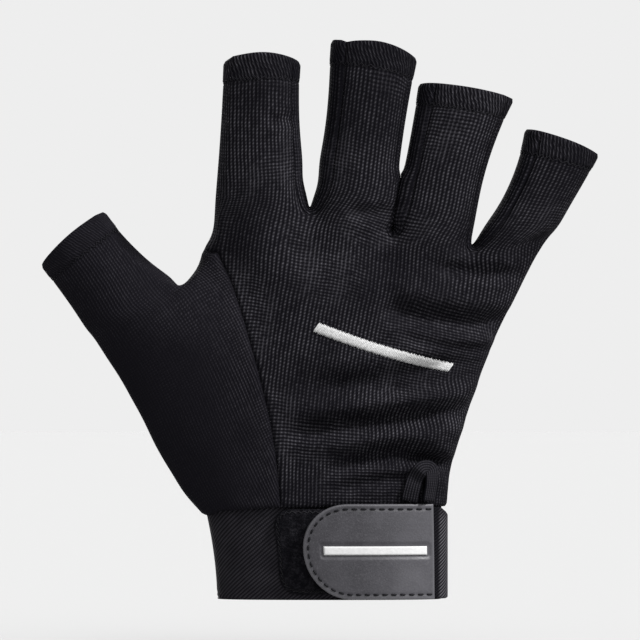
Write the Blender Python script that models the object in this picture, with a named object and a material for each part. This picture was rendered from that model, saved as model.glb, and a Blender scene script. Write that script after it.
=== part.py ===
"""A fingerless rugby glove for the right hand, as it stands on a hand with the fingers up.

X runs across the hand, from the thumb to the little finger. The back of the hand faces -Y.
Z runs from the wrist opening, where the origin is, to the fingertips. All sizes are metres.
"""

import math

import bmesh
import bpy
import numpy as np
from mathutils import Vector
from mathutils.bvhtree import BVHTree

# Elastic cuff
CUFF_HEIGHT = 0.0308
CUFF_WIDTH = 0.0718
CUFF_TOP_WIDTH = 0.0760
CUFF_TOP_SHIFT = -0.0021
CUFF_FLARE = 1.8
CUFF_DEPTH = 0.0300
CUFF_WALL = 0.0018
CUFF_ROUNDNESS = 2.4
CUFF_SEGMENTS = 44
CUFF_ROWS = 3

# Hand
PALM_WIDTH = 0.1060
PALM_LENGTH = 0.0855
BACK_DEPTH = 0.0150
PALM_DEPTH = 0.0165
HAND_ROUNDNESS = 2.5
THENAR_BULGE = 0.0040
SIDE_DEPTH = 0.0068
CROTCH_REACH = 0.0085
HAND_STEPS = 12

# Fingers and thumb
FINGER_LENGTH = 0.0560
FINGER_DEPTH = 0.0190
THUMB_DEPTH = 0.0210
FINGER_ROUNDNESS = 2.3
SECTION_SPREAD = 1.02
CROTCH_RISE = 0.0022
ROOT_SWELL = 0.16
ROOT_REACH = 0.0170
INDEX_SIDE_INSET = 0.0015

# Cloth
PANEL_WALL = 0.0013
HEM_WALL = 0.0022
HEM_WIDTH = 0.0064
SEAM_GAP = 0.0003
FOLD_DEPTH = 0.0021
SMOOTH_LEVELS = 1
FIT_ROUNDS = 3
SHARP_ANGLE = 60

# Wrist closure
LAYER_GAP = 0.0003
PATCH_WIDTH = 0.0409
PATCH_HEIGHT = CUFF_HEIGHT - 0.0036
PATCH_THICKNESS = 0.0012
PATCH_LEFT = -0.0159
TAB_LENGTH = 0.0400
TAB_HEIGHT = CUFF_HEIGHT - 0.0004
TAB_THICKNESS = 0.0015
TAB_LEFT = -0.0075
STRAP_HEIGHT = CUFF_HEIGHT - 0.0024
STRAP_THICKNESS = 0.0012
STRAP_LAP = 0.0080
HOOK_HEIGHT = 0.0220
HOOK_INSET = 0.0060
HOOK_TO_STRAP = 0.0010
HOOK_LENGTH = TAB_LENGTH - STRAP_LAP - HOOK_INSET - HOOK_TO_STRAP
HOOK_THICKNESS = 0.0011
STRAP_REACH = 0.0560
STRAP_SETTLE = 0.0160
TAB_RISE = 0.0001

# Pull loop
LOOP_HEIGHT = 0.0134
LOOP_WIDTH = 0.0112
LOOP_TAPE_WIDTH = 0.0052
LOOP_TAPE_THICKNESS = 0.0009
LOOP_X = 0.0293
LOOP_FOOT_GAP = 0.0006
LOOP_LIFT = 0.0012
LOOP_STEPS = 26
LOOP_ROUNDNESS = 2.8
LOOP_LEAN = 0.12

# The hand's three long lines, from the cuff up. climb is the share of the way to the knuckles,
# across is a share of PALM_WIDTH from the centre and up a share of PALM_LENGTH above the cuff.
THUMB_SIDE = (
    # climb, across, up
    (0.00, -0.392, -0.040),
    (0.05, -0.427, 0.012),
    (0.12, -0.451, 0.058),
    (0.30, -0.514, 0.185),
    (0.50, -0.567, 0.320),
    (0.70, -0.632, 0.466),
    (0.85, -0.678, 0.552),
    (0.92, -0.709, 0.610),
)
SEAM_LINE = (
    # climb, across, up
    (0.00, -0.147, -0.017),
    (0.12, -0.155, 0.118),
    (0.30, -0.174, 0.286),
    (0.50, -0.211, 0.477),
    (0.70, -0.260, 0.694),
    (0.85, -0.303, 0.848),
    (0.92, -0.332, 0.934),
    (1.00, -0.334, 1.050),
)
LITTLE_SIDE = (
    # climb, across, up
    (0.00, 0.355, -0.017),
    (0.12, 0.363, 0.114),
    (0.30, 0.399, 0.260),
    (0.50, 0.449, 0.447),
    (0.70, 0.510, 0.638),
    (0.85, 0.579, 0.803),
    (0.92, 0.615, 0.891),
    (1.00, 0.657, 0.973),
)
# Half depths on the way up, as shares of BACK_DEPTH and PALM_DEPTH.
DEPTHS = (
    # climb, back, palm
    (0.00, 1.12, 1.02),
    (0.12, 1.02, 1.02),
    (0.35, 1.04, 1.08),
    (0.60, 1.02, 1.00),
    (0.85, 0.90, 0.84),
    (1.00, 0.76, 0.70),
)
# The knuckle row, in the same shares as the lines. drop is how far back a knuckle lies, as a share
# of FINGER_DEPTH: the row falls away towards the little finger.
KNUCKLES = (
    # station, across, up, drop
    ("thumb_side", -0.334, 1.050, 0.04),
    ("index", -0.206, 1.080, 0.02),
    ("index_middle", -0.060, 1.076, 0.00),
    ("middle", 0.063, 1.069, 0.00),
    ("middle_ring", 0.189, 0.994, 0.04),
    ("ring", 0.307, 0.979, 0.09),
    ("ring_little", 0.429, 0.938, 0.13),
    ("little", 0.543, 0.953, 0.18),
    ("outer_side", 0.657, 0.973, 0.20),
)
# The web between the thumb and the index finger.
THUMB_CROTCH = {"across": -0.438, "up": 0.785, "rise": 0.010}
WEB_TOP = {"across": -0.368, "up": 0.950}
# Each tube's two ends of its rim, in shares of PALM_WIDTH across and of FINGER_LENGTH up from the
# knuckle line. left_bow and right_bow push its sides out at half length, as shares of its width.
# crown lifts the middle of the rim, turn swings the seams round the tube in degrees and drop is how
# far back the rim lies.
FINGER_COLUMNS = (
    "left_across", "left_up", "right_across", "right_up", "left_bow", "right_bow", "crown", "turn", "drop",
)
FINGERS = (
    (-0.316, 0.990, -0.091, 0.986, -0.012, -0.052, 0.056, 3, 0.02),
    (0.006, 1.086, 0.261, 1.006, -0.068, -0.032, 0.062, 12, 0.00),
    (0.276, 0.862, 0.553, 0.774, -0.018, -0.088, 0.028, 12, 0.10),
    (0.597, 0.602, 0.812, 0.458, -0.122, 0.018, 0.028, 16, 0.22),
)
# The thumb's rim, up in shares of PALM_LENGTH.
THUMB = {
    "left_across": -0.868,
    "left_up": 0.887,
    "right_across": -0.683,
    "right_up": 1.085,
    "left_bow": -0.010,
    "right_bow": -0.050,
    "crown": 0.050,
    "turn": 0,
    "drop": 0.05,
}
# Folds of the back, each a valley from its start over its middle to its end. Its depth and half
# width are shares of FOLD_DEPTH and PALM_LENGTH.
FOLDS = (
    # start_across, start_up, middle_across, middle_up, end_across, end_up, depth, width
    (0.150, 0.800, 0.330, 0.745, 0.560, 0.690, 0.95, 0.048),
    (-0.100, 0.440, 0.200, 0.480, 0.480, 0.590, 0.80, 0.052),
    (-0.140, 0.275, 0.100, 0.330, 0.420, 0.390, 1.00, 0.046),
    (-0.020, 0.120, 0.190, 0.215, 0.370, 0.150, 0.95, 0.044),
)
FOLD_TAPER = 0.22
FOLD_SHOULDER = 0.40
FOLD_SAMPLES = 60

# Stations across the back, counted from the thumb side
THUMB_STATIONS = 3
BACK_STATIONS = 8
LAST_STATION = THUMB_STATIONS + BACK_STATIONS
CROTCH_STATION = 2
EDGE_INSET = 0.045
TUBE_STEPS = (0.14, 0.38, 0.64)
FINGER_SEAM_ANGLE = 39
THUMB_ANGLES = (141, 90, 39, 0, -39, -90, -141, 180)

# The sewn pieces of the hand. A face of the hand's mesh is numbered by its place here, and a face
# of a hem by that number plus as many again.
PANELS = (
    "back_panel",
    "palm_panel",
    "thumb_panel",
    "fourchette_index_middle",
    "fourchette_middle_ring",
    "fourchette_ring_little",
)
BACK, PALM, THUMB_PIECE, *FOURCHETTES = PANELS

# name: red, green, blue, roughness
FINISHES = {
    "knit": (0.012, 0.012, 0.014, 0.85),
    "fourchette_cloth": (0.010, 0.010, 0.012, 0.75),
    "elastic": (0.012, 0.012, 0.013, 0.80),
    "pile": (0.006, 0.006, 0.007, 0.95),
    "coated_leather": (0.085, 0.085, 0.092, 0.45),
    "tape": (0.012, 0.012, 0.014, 0.70),
}


def clear_scene():
    for thing in list(bpy.data.objects):
        bpy.data.objects.remove(thing)


def finish(name):
    """The material of that name, made once."""
    found = bpy.data.materials.get(name)
    if found:
        return found
    red, green, blue, roughness = FINISHES[name]
    made = bpy.data.materials.new(name)
    made.use_nodes = True
    shader = made.node_tree.nodes["Principled BSDF"]
    shader.inputs["Base Color"].default_value = (red, green, blue, 1)
    shader.inputs["Roughness"].default_value = roughness
    shader.inputs["Metallic"].default_value = 0
    return made


def make_object(name, bm, finish_name):
    """Turns a bmesh into a smooth-shaded object with outward faces."""
    bmesh.ops.recalc_face_normals(bm, faces=bm.faces)
    if bm.calc_volume(signed=True) < 0:
        bmesh.ops.reverse_faces(bm, faces=bm.faces)
    mesh = bpy.data.meshes.new(name)
    bm.to_mesh(mesh)
    bm.free()
    mesh.shade_smooth()
    mesh.set_sharp_from_angle(angle=math.radians(SHARP_ANGLE))
    mesh.materials.clear()
    mesh.materials.append(finish(finish_name))
    made = bpy.data.objects.new(name, mesh)
    bpy.context.scene.collection.objects.link(made)
    return made


def superellipse(angle, half_width, half_depth, roundness):
    """A point of a rounded section: 0 degrees is its right end and 90 degrees the back of the hand."""
    c, s = math.cos(math.radians(angle)), math.sin(math.radians(angle))
    across = math.copysign(abs(c) ** (2 / roundness), c) * half_width
    out = math.copysign(abs(s) ** (2 / roundness), s) * half_depth
    return across, -out


def read_table(table, climb, column):
    return float(np.interp(climb, [row[0] for row in table], [row[column] for row in table]))


def place(across, up, y=0.0):
    """A point of the hand from its shares of the palm's width and length."""
    return Vector((across * PALM_WIDTH, y, CUFF_HEIGHT + SEAM_GAP + up * PALM_LENGTH))


def long_line(table, climb):
    """A point on one of the hand's long lines."""
    return place(read_table(table, climb, 1), read_table(table, climb, 2))


def station_points(climb):
    """(points across the back, thumb side, little side) at this climb. y is only the knuckles' drop."""
    thumb = long_line(THUMB_SIDE, min(climb, THUMB_SIDE[-1][0]))
    seam = long_line(SEAM_LINE, climb)
    little = long_line(LITTLE_SIDE, climb)
    inner = thumb.lerp(seam, EDGE_INSET * 2)
    crotch = place(THUMB_CROTCH["across"], THUMB_CROTCH["up"])
    pull = root_share(CROTCH_STATION, climb, CROTCH_REACH)
    points = [inner]
    for k in range(1, THUMB_STATIONS):
        on_root = inner.lerp(crotch, k / CROTCH_STATION)
        points.append(inner.lerp(seam, k / THUMB_STATIONS).lerp(on_root, pull))
    outer = little.lerp(seam, EDGE_INSET)
    knuckles = [place(across, up) for _, across, up, _ in KNUCKLES]
    knuckles[-1] = knuckles[-1].lerp(knuckles[0], EDGE_INSET)
    span = knuckles[-1] - knuckles[0]
    for k, knuckle in enumerate(knuckles):
        share = (knuckle - knuckles[0]).dot(span) / span.length_squared
        dip = knuckle - knuckles[0].lerp(knuckles[-1], share)
        even = k / BACK_STATIONS
        along = even + (share - even) * climb
        point = seam.lerp(outer, along) + dip * climb**3
        point.y = knuckle_drop(k, climb)
        points.append(point)
    little.y = knuckle_drop(BACK_STATIONS, climb)
    return points, thumb, little


def knuckle_drop(k, climb):
    return KNUCKLES[k][3] * FINGER_DEPTH * climb**2


def root_depth(k):
    """(half depth, reach): the hand's depth where its tubes begin, and how far below it starts to change."""
    step = k - THUMB_STATIONS
    if k == CROTCH_STATION or step in (2, 4, 6):
        return SIDE_DEPTH, CROTCH_REACH
    if k < CROTCH_STATION:
        angle, depth = THUMB_ANGLES[k], THUMB_DEPTH
    else:
        angle, depth = (90 if step % 2 else FINGER_SEAM_ANGLE), FINGER_DEPTH
    out = superellipse(angle, 1, depth / 2, FINGER_ROUNDNESS)[1]
    return -out * (1 + ROOT_SWELL), ROOT_REACH


def root_share(k, climb, reach):
    """1 where a station's tube begins, falling to 0 below it."""
    top = THUMB_SIDE[-1][0] if k <= THUMB_STATIONS else 1.0
    distance = max(0.0, top - climb) * PALM_LENGTH
    return math.exp(-((distance / reach) ** 2))


def body_ring(climb):
    """The hand's section at this climb: (points of the back, little side, points of the palm, thumb side)."""
    stations, thumb, little = station_points(climb)
    back_depth = read_table(DEPTHS, climb, 1) * BACK_DEPTH
    palm_depth = read_table(DEPTHS, climb, 2) * PALM_DEPTH
    bulge = THENAR_BULGE * math.sin(math.pi * min(1.0, climb))
    back, palm = [], []
    for k, point in enumerate(stations):
        share = 2 * (point.x - thumb.x) / (little.x - thumb.x) - 1
        fullness = (1 - min(1.0, abs(share)) ** HAND_ROUNDNESS) ** (1 / HAND_ROUNDNESS)
        root, reach = root_depth(k)
        near = root_share(k, climb, reach)
        out = (1 - near) * back_depth * fullness + near * root
        swell = bulge * math.exp(-(((share + 0.45) / 0.35) ** 2))
        deep = (1 - near) * (palm_depth * fullness + swell) + near * root
        back.append(Vector((point.x, point.y - out, point.z)))
        palm.append(Vector((point.x, point.y + deep, point.z)))
    return back, little, palm, thumb


def as_ring(back, right, palm, left):
    return [*back, right, *reversed(palm), left]


def bezier(start, middle, end, share):
    """A curve through all three points."""
    control = middle * 2 - (start + end) / 2
    return start.lerp(control, share).lerp(control.lerp(end, share), share)


def finger_angles(turn):
    """Where a finger's four seams, front, back and sides lie round it, from its left front seam on."""
    seam = FINGER_SEAM_ANGLE
    return [angle - turn for angle in (180 - seam, 90, seam, 0, -seam, -90, seam - 180, -180)]


def tube_section(root, rim, shape, depth, angles, share):
    """The points of a finger's section at this share of its length."""
    (root_left, root_right), (rim_left, rim_right) = root, rim
    width = (root_right - root_left).length
    axis = ((rim_left + rim_right) - (root_left + root_right)).normalized()
    side = Vector((axis.z, 0, -axis.x))
    middle_left = (root_left + rim_left) / 2 - side * width * shape["left_bow"]
    middle_right = (root_right + rim_right) / 2 + side * width * shape["right_bow"]
    left = bezier(root_left, middle_left, rim_left, share)
    right = bezier(root_right, middle_right, rim_right, share)
    centre, half = (left + right) / 2, (right - left) / 2
    half_depth = depth / 2 * (1 + ROOT_SWELL * (1 - share) ** 3)
    lift = axis * shape["crown"] * (rim_left - root_left).length * max(0.0, share - 0.8) / 0.2
    points = []
    for angle in angles:
        across, out = superellipse(angle, SECTION_SPREAD, half_depth, FINGER_ROUNDNESS)
        rise = lift * (1 - abs(across) ** 3)
        points.append(centre + half * across + Vector((0, out, 0)) + rise)
    return points


def piece_number(name, hem=False):
    return PANELS.index(name) + (len(PANELS) if hem else 0)


def raise_ring(bm, ring, points, tags, hem=False):
    """Extrudes a closed ring of vertices to new points, and tags each new face with its piece."""
    count = len(ring)
    edges = [bm.edges.get((ring[i], ring[(i + 1) % count])) for i in range(count)]
    made = bmesh.ops.extrude_edge_only(bm, edges=edges)["geom"]
    new = {v for v in made if isinstance(v, bmesh.types.BMVert)}
    raised = [next(e.other_vert(v) for e in v.link_edges if e.other_vert(v) in new) for v in ring]
    for vertex, point in zip(raised, points):
        vertex.co = point
    for i, tag in enumerate(tags):
        j = (i + 1) % count
        face = bm.faces.get((ring[i], ring[j], raised[j], raised[i]))
        face.material_index = piece_number(tag, hem)
    return raised


def bridge_crotch(bm, back_vertex, palm_vertex, middle):
    """Joins back and palm at a crotch through a vertex between them, and returns that vertex."""
    vertex = bm.verts.new(middle)
    bm.edges.new((back_vertex, vertex))
    bm.edges.new((vertex, palm_vertex))
    return vertex


def grow_tube(bm, ring, root, rim, shape, depth, angles, tags):
    """Extrudes a finger from its root ring to its hem and rim."""
    length = ((rim[0] + rim[1]) - (root[0] + root[1])).length / 2
    hem_share = 1 - HEM_WIDTH / length
    for share in (*(step for step in TUBE_STEPS if step < hem_share - 0.08), hem_share, 1.0):
        points = tube_section(root, rim, shape, depth, angles, share)
        ring = raise_ring(bm, ring, points, tags, hem=share == 1.0)


def grow_fingers(bm, ring):
    """The four fingers, from the ring at the knuckles: 9 back stations, side, 9 palm stations, side."""
    count = BACK_STATIONS + 1
    back, right = ring[:count], ring[count]
    palm, left = list(reversed(ring[count + 1 : 2 * count + 1])), ring[-1]
    sides = [left]
    for k in (2, 4, 6):
        middle = (back[k].co + palm[k].co) / 2 + Vector((0, 0, CROTCH_RISE))
        sides.append(bridge_crotch(bm, back[k], palm[k], middle))
    sides.append(right)
    rise = FINGER_LENGTH / PALM_LENGTH
    for i, values in enumerate(FINGERS):
        shape = dict(zip(FINGER_COLUMNS, values))
        drop = shape["drop"] * FINGER_DEPTH
        a, b, c = 2 * i, 2 * i + 1, 2 * i + 2
        loop = [back[a], back[b], back[c], sides[i + 1], palm[c], palm[b], palm[a], sides[i]]
        rim = (
            place(shape["left_across"], 1 + shape["left_up"] * rise, drop),
            place(shape["right_across"], 1 + shape["right_up"] * rise, drop),
        )
        root = (sides[i].co.copy(), sides[i + 1].co.copy())
        left_tag = (BACK, PALM) if i == 0 else (FOURCHETTES[i - 1],) * 2
        right_tag = (BACK, PALM) if i == 3 else (FOURCHETTES[i],) * 2
        tags = (BACK, BACK, *right_tag, PALM, PALM, left_tag[1], left_tag[0])
        grow_tube(bm, loop, root, rim, shape, FINGER_DEPTH, finger_angles(shape["turn"]), tags)


def grow_thumb(bm, ring):
    """The thumb's tube and the web beside it, from the hand's last whole ring. Returns the web's top vertex."""
    crotch, seam = CROTCH_STATION, THUMB_STATIONS
    palm = list(reversed(ring[LAST_STATION + 2 : 2 * LAST_STATION + 3]))
    middle = place(THUMB_CROTCH["across"], THUMB_CROTCH["up"] + THUMB_CROTCH["rise"])
    web = bridge_crotch(bm, ring[crotch], palm[crotch], middle)
    top = bridge_crotch(bm, ring[seam], palm[seam], place(WEB_TOP["across"], WEB_TOP["up"]))
    for a, b, c, d in ((ring[crotch], ring[seam], top, web), (web, top, palm[seam], palm[crotch])):
        bm.faces.new((a, b, c, d)).material_index = piece_number(THUMB_PIECE)
    loop = [*ring[: crotch + 1], web, *reversed(palm[: crotch + 1]), ring[-1]]
    root = (ring[-1].co.copy(), web.co.copy())
    drop = THUMB["drop"] * THUMB_DEPTH
    rim = (
        place(THUMB["left_across"], THUMB["left_up"], drop),
        place(THUMB["right_across"], THUMB["right_up"], drop),
    )
    tags = (THUMB_PIECE,) * len(loop)
    grow_tube(bm, loop, root, rim, THUMB, THUMB_DEPTH, THUMB_ANGLES, tags)
    return top


def hand_cage():
    """The coarse mesh of the whole hand, open at the wrist and the fingertips."""
    bm = bmesh.new()
    points = as_ring(*body_ring(0.0))
    ring = [bm.verts.new(point) for point in points]
    for i, vertex in enumerate(ring):
        bm.edges.new((vertex, ring[(i + 1) % len(ring)]))
    tags = [THUMB_PIECE] * THUMB_STATIONS + [BACK] * (BACK_STATIONS + 1)
    tags += [PALM] * (BACK_STATIONS + 1) + [THUMB_PIECE] * (THUMB_STATIONS + 2)
    last_whole = THUMB_SIDE[-1][0]
    for step in range(1, HAND_STEPS):
        climb = last_whole * step / (HAND_STEPS - 1)
        ring = raise_ring(bm, ring, as_ring(*body_ring(climb)), tags)
    top = grow_thumb(bm, ring)
    palm_end = LAST_STATION + 2 + BACK_STATIONS + 1
    ring = [*ring[THUMB_STATIONS:palm_end], top]
    back, little, palm, _ = body_ring(1.0)
    index_side = long_line(SEAM_LINE, 1.0) + Vector((-INDEX_SIDE_INSET, 0, 0))
    points = as_ring(back[THUMB_STATIONS:], little, palm[THUMB_STATIONS:], index_side)
    tags = [BACK] * (BACK_STATIONS + 1) + [PALM] * (BACK_STATIONS + 2) + [BACK]
    ring = raise_ring(bm, ring, points, tags)
    grow_fingers(bm, ring)
    return bm


def smooth_copy(mesh, levels):
    """The Catmull-Clark surface of a mesh, as a new mesh whose first vertices are the old ones."""
    holder = bpy.data.objects.new("cage", mesh)
    bpy.context.scene.collection.objects.link(holder)
    smooth = holder.modifiers.new("smooth", "SUBSURF")
    smooth.levels = smooth.render_levels = levels
    smooth.use_limit_surface = True
    graph = bpy.context.evaluated_depsgraph_get()
    made = bpy.data.meshes.new_from_object(holder.evaluated_get(graph))
    bpy.data.objects.remove(holder)
    return made


def fitted_surface():
    """The hand's smooth surface, with its cage pushed out until the surface passes through the cage's points."""
    bm = hand_cage()
    cage = bpy.data.meshes.new("cage")
    bm.to_mesh(cage)
    bm.free()
    wanted = np.array([v.co for v in cage.vertices])
    pushed = wanted.copy()
    for _ in range(FIT_ROUNDS):
        reached = smooth_copy(cage, 1)
        now = np.array([v.co for v in reached.vertices])[: len(wanted)]
        pushed += wanted - now
        cage.vertices.foreach_set("co", pushed.astype(np.float32).ravel())
        cage.update()
    return smooth_copy(cage, SMOOTH_LEVELS)


def fold_lines():
    """Each fold as (points along its valley, depth, half width)."""
    lines = []
    for start_x, start_up, mid_x, mid_up, end_x, end_up, depth, width in FOLDS:
        ends = (place(start_x, start_up), place(mid_x, mid_up), place(end_x, end_up))
        points = np.array([bezier(*ends, k / FOLD_SAMPLES) for k in range(FOLD_SAMPLES + 1)])
        lines.append((points[:, [0, 2]], depth * FOLD_DEPTH, width * PALM_LENGTH))
    return lines


def fold_height(point, lines):
    """How far the cloth stands out at a point of the back: below zero in a valley, above on its shoulders."""
    height = 0.0
    for points, depth, width in lines:
        distances = np.hypot(points[:, 0] - point.x, points[:, 1] - point.z)
        k = int(distances.argmin())
        along = k / FOLD_SAMPLES
        fade = min(1.0, along / FOLD_TAPER, (1 - along) / FOLD_TAPER + 0.3)
        reach = distances[k] / width
        shoulder = FOLD_SHOULDER * math.exp(-((reach - 1.9) ** 2))
        height += depth * fade * (shoulder - math.exp(-(reach**2)))
    return height


def hand_surface():
    """The outside of the hand with its folds. Each vertex keeps the way into the glove in the layer inward."""
    bm = bmesh.new()
    bm.from_mesh(fitted_surface())
    bmesh.ops.recalc_face_normals(bm, faces=bm.faces)
    front = max(bm.verts, key=lambda v: -v.co.y)
    if front.normal.y > 0:
        bmesh.ops.reverse_faces(bm, faces=bm.faces)
    bm.normal_update()
    inward = bm.verts.layers.float_vector.new("inward")
    lines = fold_lines()
    for vertex in bm.verts:
        in_hem = all(face.material_index >= len(PANELS) for face in vertex.link_faces)
        vertex[inward] = vertex.normal * -(HEM_WALL if in_hem else PANEL_WALL)
        facing = max(0.0, -vertex.normal.y)
        vertex.co += vertex.normal * fold_height(vertex.co, lines) * min(1.0, facing * 1.5)
    return bm


def make_panel(surface, name, finish_name):
    """Cuts one sewn piece out of the hand's surface, draws its edges in and gives it its thickness."""
    bm = surface.copy()
    inward = bm.verts.layers.float_vector["inward"]
    number = piece_number(name)
    others = [face for face in bm.faces if face.material_index % len(PANELS) != number]
    bmesh.ops.delete(bm, geom=others, context="FACES")
    rims = bmesh.ops.inset_region(
        bm, faces=bm.faces, thickness=SEAM_GAP / 2, use_boundary=True, use_even_offset=True
    )["faces"]
    bmesh.ops.delete(bm, geom=rims, context="FACES")
    made = bmesh.ops.extrude_face_region(bm, geom=bm.faces, use_keep_orig=True)["geom"]
    for vertex in (v for v in made if isinstance(v, bmesh.types.BMVert)):
        vertex.co += vertex[inward]
    for face in bm.faces:
        face.material_index = 0
    return make_object(name, bm, finish_name)


def cuff_section(z):
    """(centre x, half width, half depth) of the cuff's outside at this height."""
    share = (z / CUFF_HEIGHT) ** CUFF_FLARE
    width = CUFF_WIDTH + (CUFF_TOP_WIDTH - CUFF_WIDTH) * share
    return CUFF_TOP_SHIFT * share, width / 2, CUFF_DEPTH / 2


def cuff_point(angle, z, out=0.0):
    """A point outside the cuff by out. 0 degrees is the little finger's side and 90 degrees the back."""
    centre, half_width, half_depth = cuff_section(z)
    across, y = superellipse(angle, half_width, half_depth, CUFF_ROUNDNESS)
    normal = Vector(
        (
            math.copysign(abs(across / half_width) ** (CUFF_ROUNDNESS - 1), across) / half_width,
            math.copysign(abs(y / half_depth) ** (CUFF_ROUNDNESS - 1), y) / half_depth,
            0,
        )
    ).normalized()
    return Vector((centre + across, y, z)) + normal * out


def make_cuff():
    """The elastic band, turned from its outer and inner rings."""
    bm = bmesh.new()
    rings = []
    heights = [CUFF_HEIGHT * row / CUFF_ROWS for row in range(CUFF_ROWS + 1)]
    profile = [(z, 0.0) for z in heights] + [(z, -CUFF_WALL) for z in reversed(heights)]
    for z, out in profile:
        rings.append(
            [bm.verts.new(cuff_point(360 * k / CUFF_SEGMENTS, z, out)) for k in range(CUFF_SEGMENTS)]
        )
    for first, second in zip(rings, [*rings[1:], rings[0]]):
        for k in range(CUFF_SEGMENTS):
            j = (k + 1) % CUFF_SEGMENTS
            bm.faces.new((first[k], first[j], second[j], second[k]))
    bmesh.ops.triangulate(bm, faces=bm.faces)
    return make_object("cuff", bm, "elastic")


def angles_by_length():
    """(lengths round the cuff from the middle of its back towards the little finger, their angles)."""
    angles = np.linspace(90, -150, 481)
    points = [cuff_point(angle, CUFF_HEIGHT / 2) for angle in angles]
    steps = [0.0] + [(b - a).length for a, b in zip(points, points[1:])]
    return np.cumsum(steps), angles


def wrap(length, z, out, rule):
    """A point at this length round the cuff from the middle of its back, which may be below zero."""
    lengths, angles = rule
    angle = float(np.interp(abs(length), lengths, angles))
    return cuff_point(angle if length >= 0 else 180 - angle, z, out)


def make_plate(name, finish_name, columns, rows, to_surface, low, high):
    """A plate bent round the cuff. to_surface gives its length round the cuff and height for two shares
    from 0 to 1, and low and high give how far its two faces stand off the cuff at a length."""
    rule = angles_by_length()
    bm = bmesh.new()
    bmesh.ops.create_grid(bm, x_segments=columns, y_segments=rows, size=0.5)
    flat = {v: (v.co.x + 0.5, v.co.y + 0.5) for v in bm.verts}
    made = bmesh.ops.extrude_face_region(bm, geom=bm.faces, use_keep_orig=True)["geom"]
    top = {v for v in made if isinstance(v, bmesh.types.BMVert)}
    for vertex in bm.verts:
        u, v = flat[vertex] if vertex in flat else (vertex.co.x + 0.5, vertex.co.y + 0.5)
        length, z = to_surface(u, v)
        vertex.co = wrap(length, z, (high if vertex in top else low)(length), rule)
    return make_object(name, bm, finish_name)


def rounded_end(u, v, left, length, height, corner, middle_z):
    """Spreads two shares over a plate whose left end is rounded with this radius."""
    swing = -math.cos(math.pi * v)
    up = swing * height / 2
    over = max(0.0, abs(up) - (height / 2 - corner))
    start = left + corner - math.sqrt(max(0.0, corner * corner - over * over))
    return start + (left + length - start) * u, middle_z + up


def layer_heights():
    """How far each layer of the closure stands off the cuff: (name, inside, outside)."""
    patch = LAYER_GAP, LAYER_GAP + PATCH_THICKNESS
    hook = patch[1] + LAYER_GAP, patch[1] + LAYER_GAP + HOOK_THICKNESS
    over = max(hook[1], hook[0] + STRAP_THICKNESS) + LAYER_GAP + TAB_RISE
    return patch, hook, (over, over + TAB_THICKNESS)


def strap_offset(length):
    """The strap lies over the patch's level under the tab and settles onto the cuff round the side."""
    level = layer_heights()[1][0]
    start = TAB_LEFT + TAB_LENGTH
    share = min(1.0, max(0.0, (length - start) / STRAP_SETTLE))
    ease = share * share * (3 - 2 * share)
    return level + (LAYER_GAP - level) * ease


def make_closure():
    """The loop patch on the cuff, the tab with its hook pad, and the strap that carries the tab."""
    middle_z = CUFF_HEIGHT / 2
    patch, hook, tab = layer_heights()

    def patch_shape(u, v):
        return rounded_end(u, v, PATCH_LEFT, PATCH_WIDTH, PATCH_HEIGHT, PATCH_HEIGHT * 0.22, middle_z)

    def hook_shape(u, v):
        left = TAB_LEFT + HOOK_INSET
        return rounded_end(u, v, left, HOOK_LENGTH, HOOK_HEIGHT, HOOK_HEIGHT * 0.49, middle_z)

    def tab_shape(u, v):
        return rounded_end(u, v, TAB_LEFT, TAB_LENGTH, TAB_HEIGHT, TAB_HEIGHT * 0.495, middle_z)

    def strap_shape(u, v):
        start = TAB_LEFT + TAB_LENGTH - STRAP_LAP
        return start + STRAP_REACH * u, middle_z + (v - 0.5) * STRAP_HEIGHT

    make_plate("loop_patch", "pile", 12, 7, patch_shape, lambda _: patch[0], lambda _: patch[1])
    make_plate("hook_pad", "pile", 8, 8, hook_shape, lambda _: hook[0], lambda _: hook[1])
    make_plate("strap_tab", "coated_leather", 14, 11, tab_shape, lambda _: tab[0], lambda _: tab[1])
    make_plate(
        "strap_band", "elastic", 22, 3, strap_shape, strap_offset,
        lambda length: strap_offset(length) + STRAP_THICKNESS,
    )


def loop_path(share):
    """(across, up) of the pull loop's tape at a share of its length, in its own width and height."""
    across, out = superellipse(180 * share, 0.34, 1, LOOP_ROUNDNESS)
    return LOOP_LEAN * math.sin(math.pi * share) - across, -out


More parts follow.
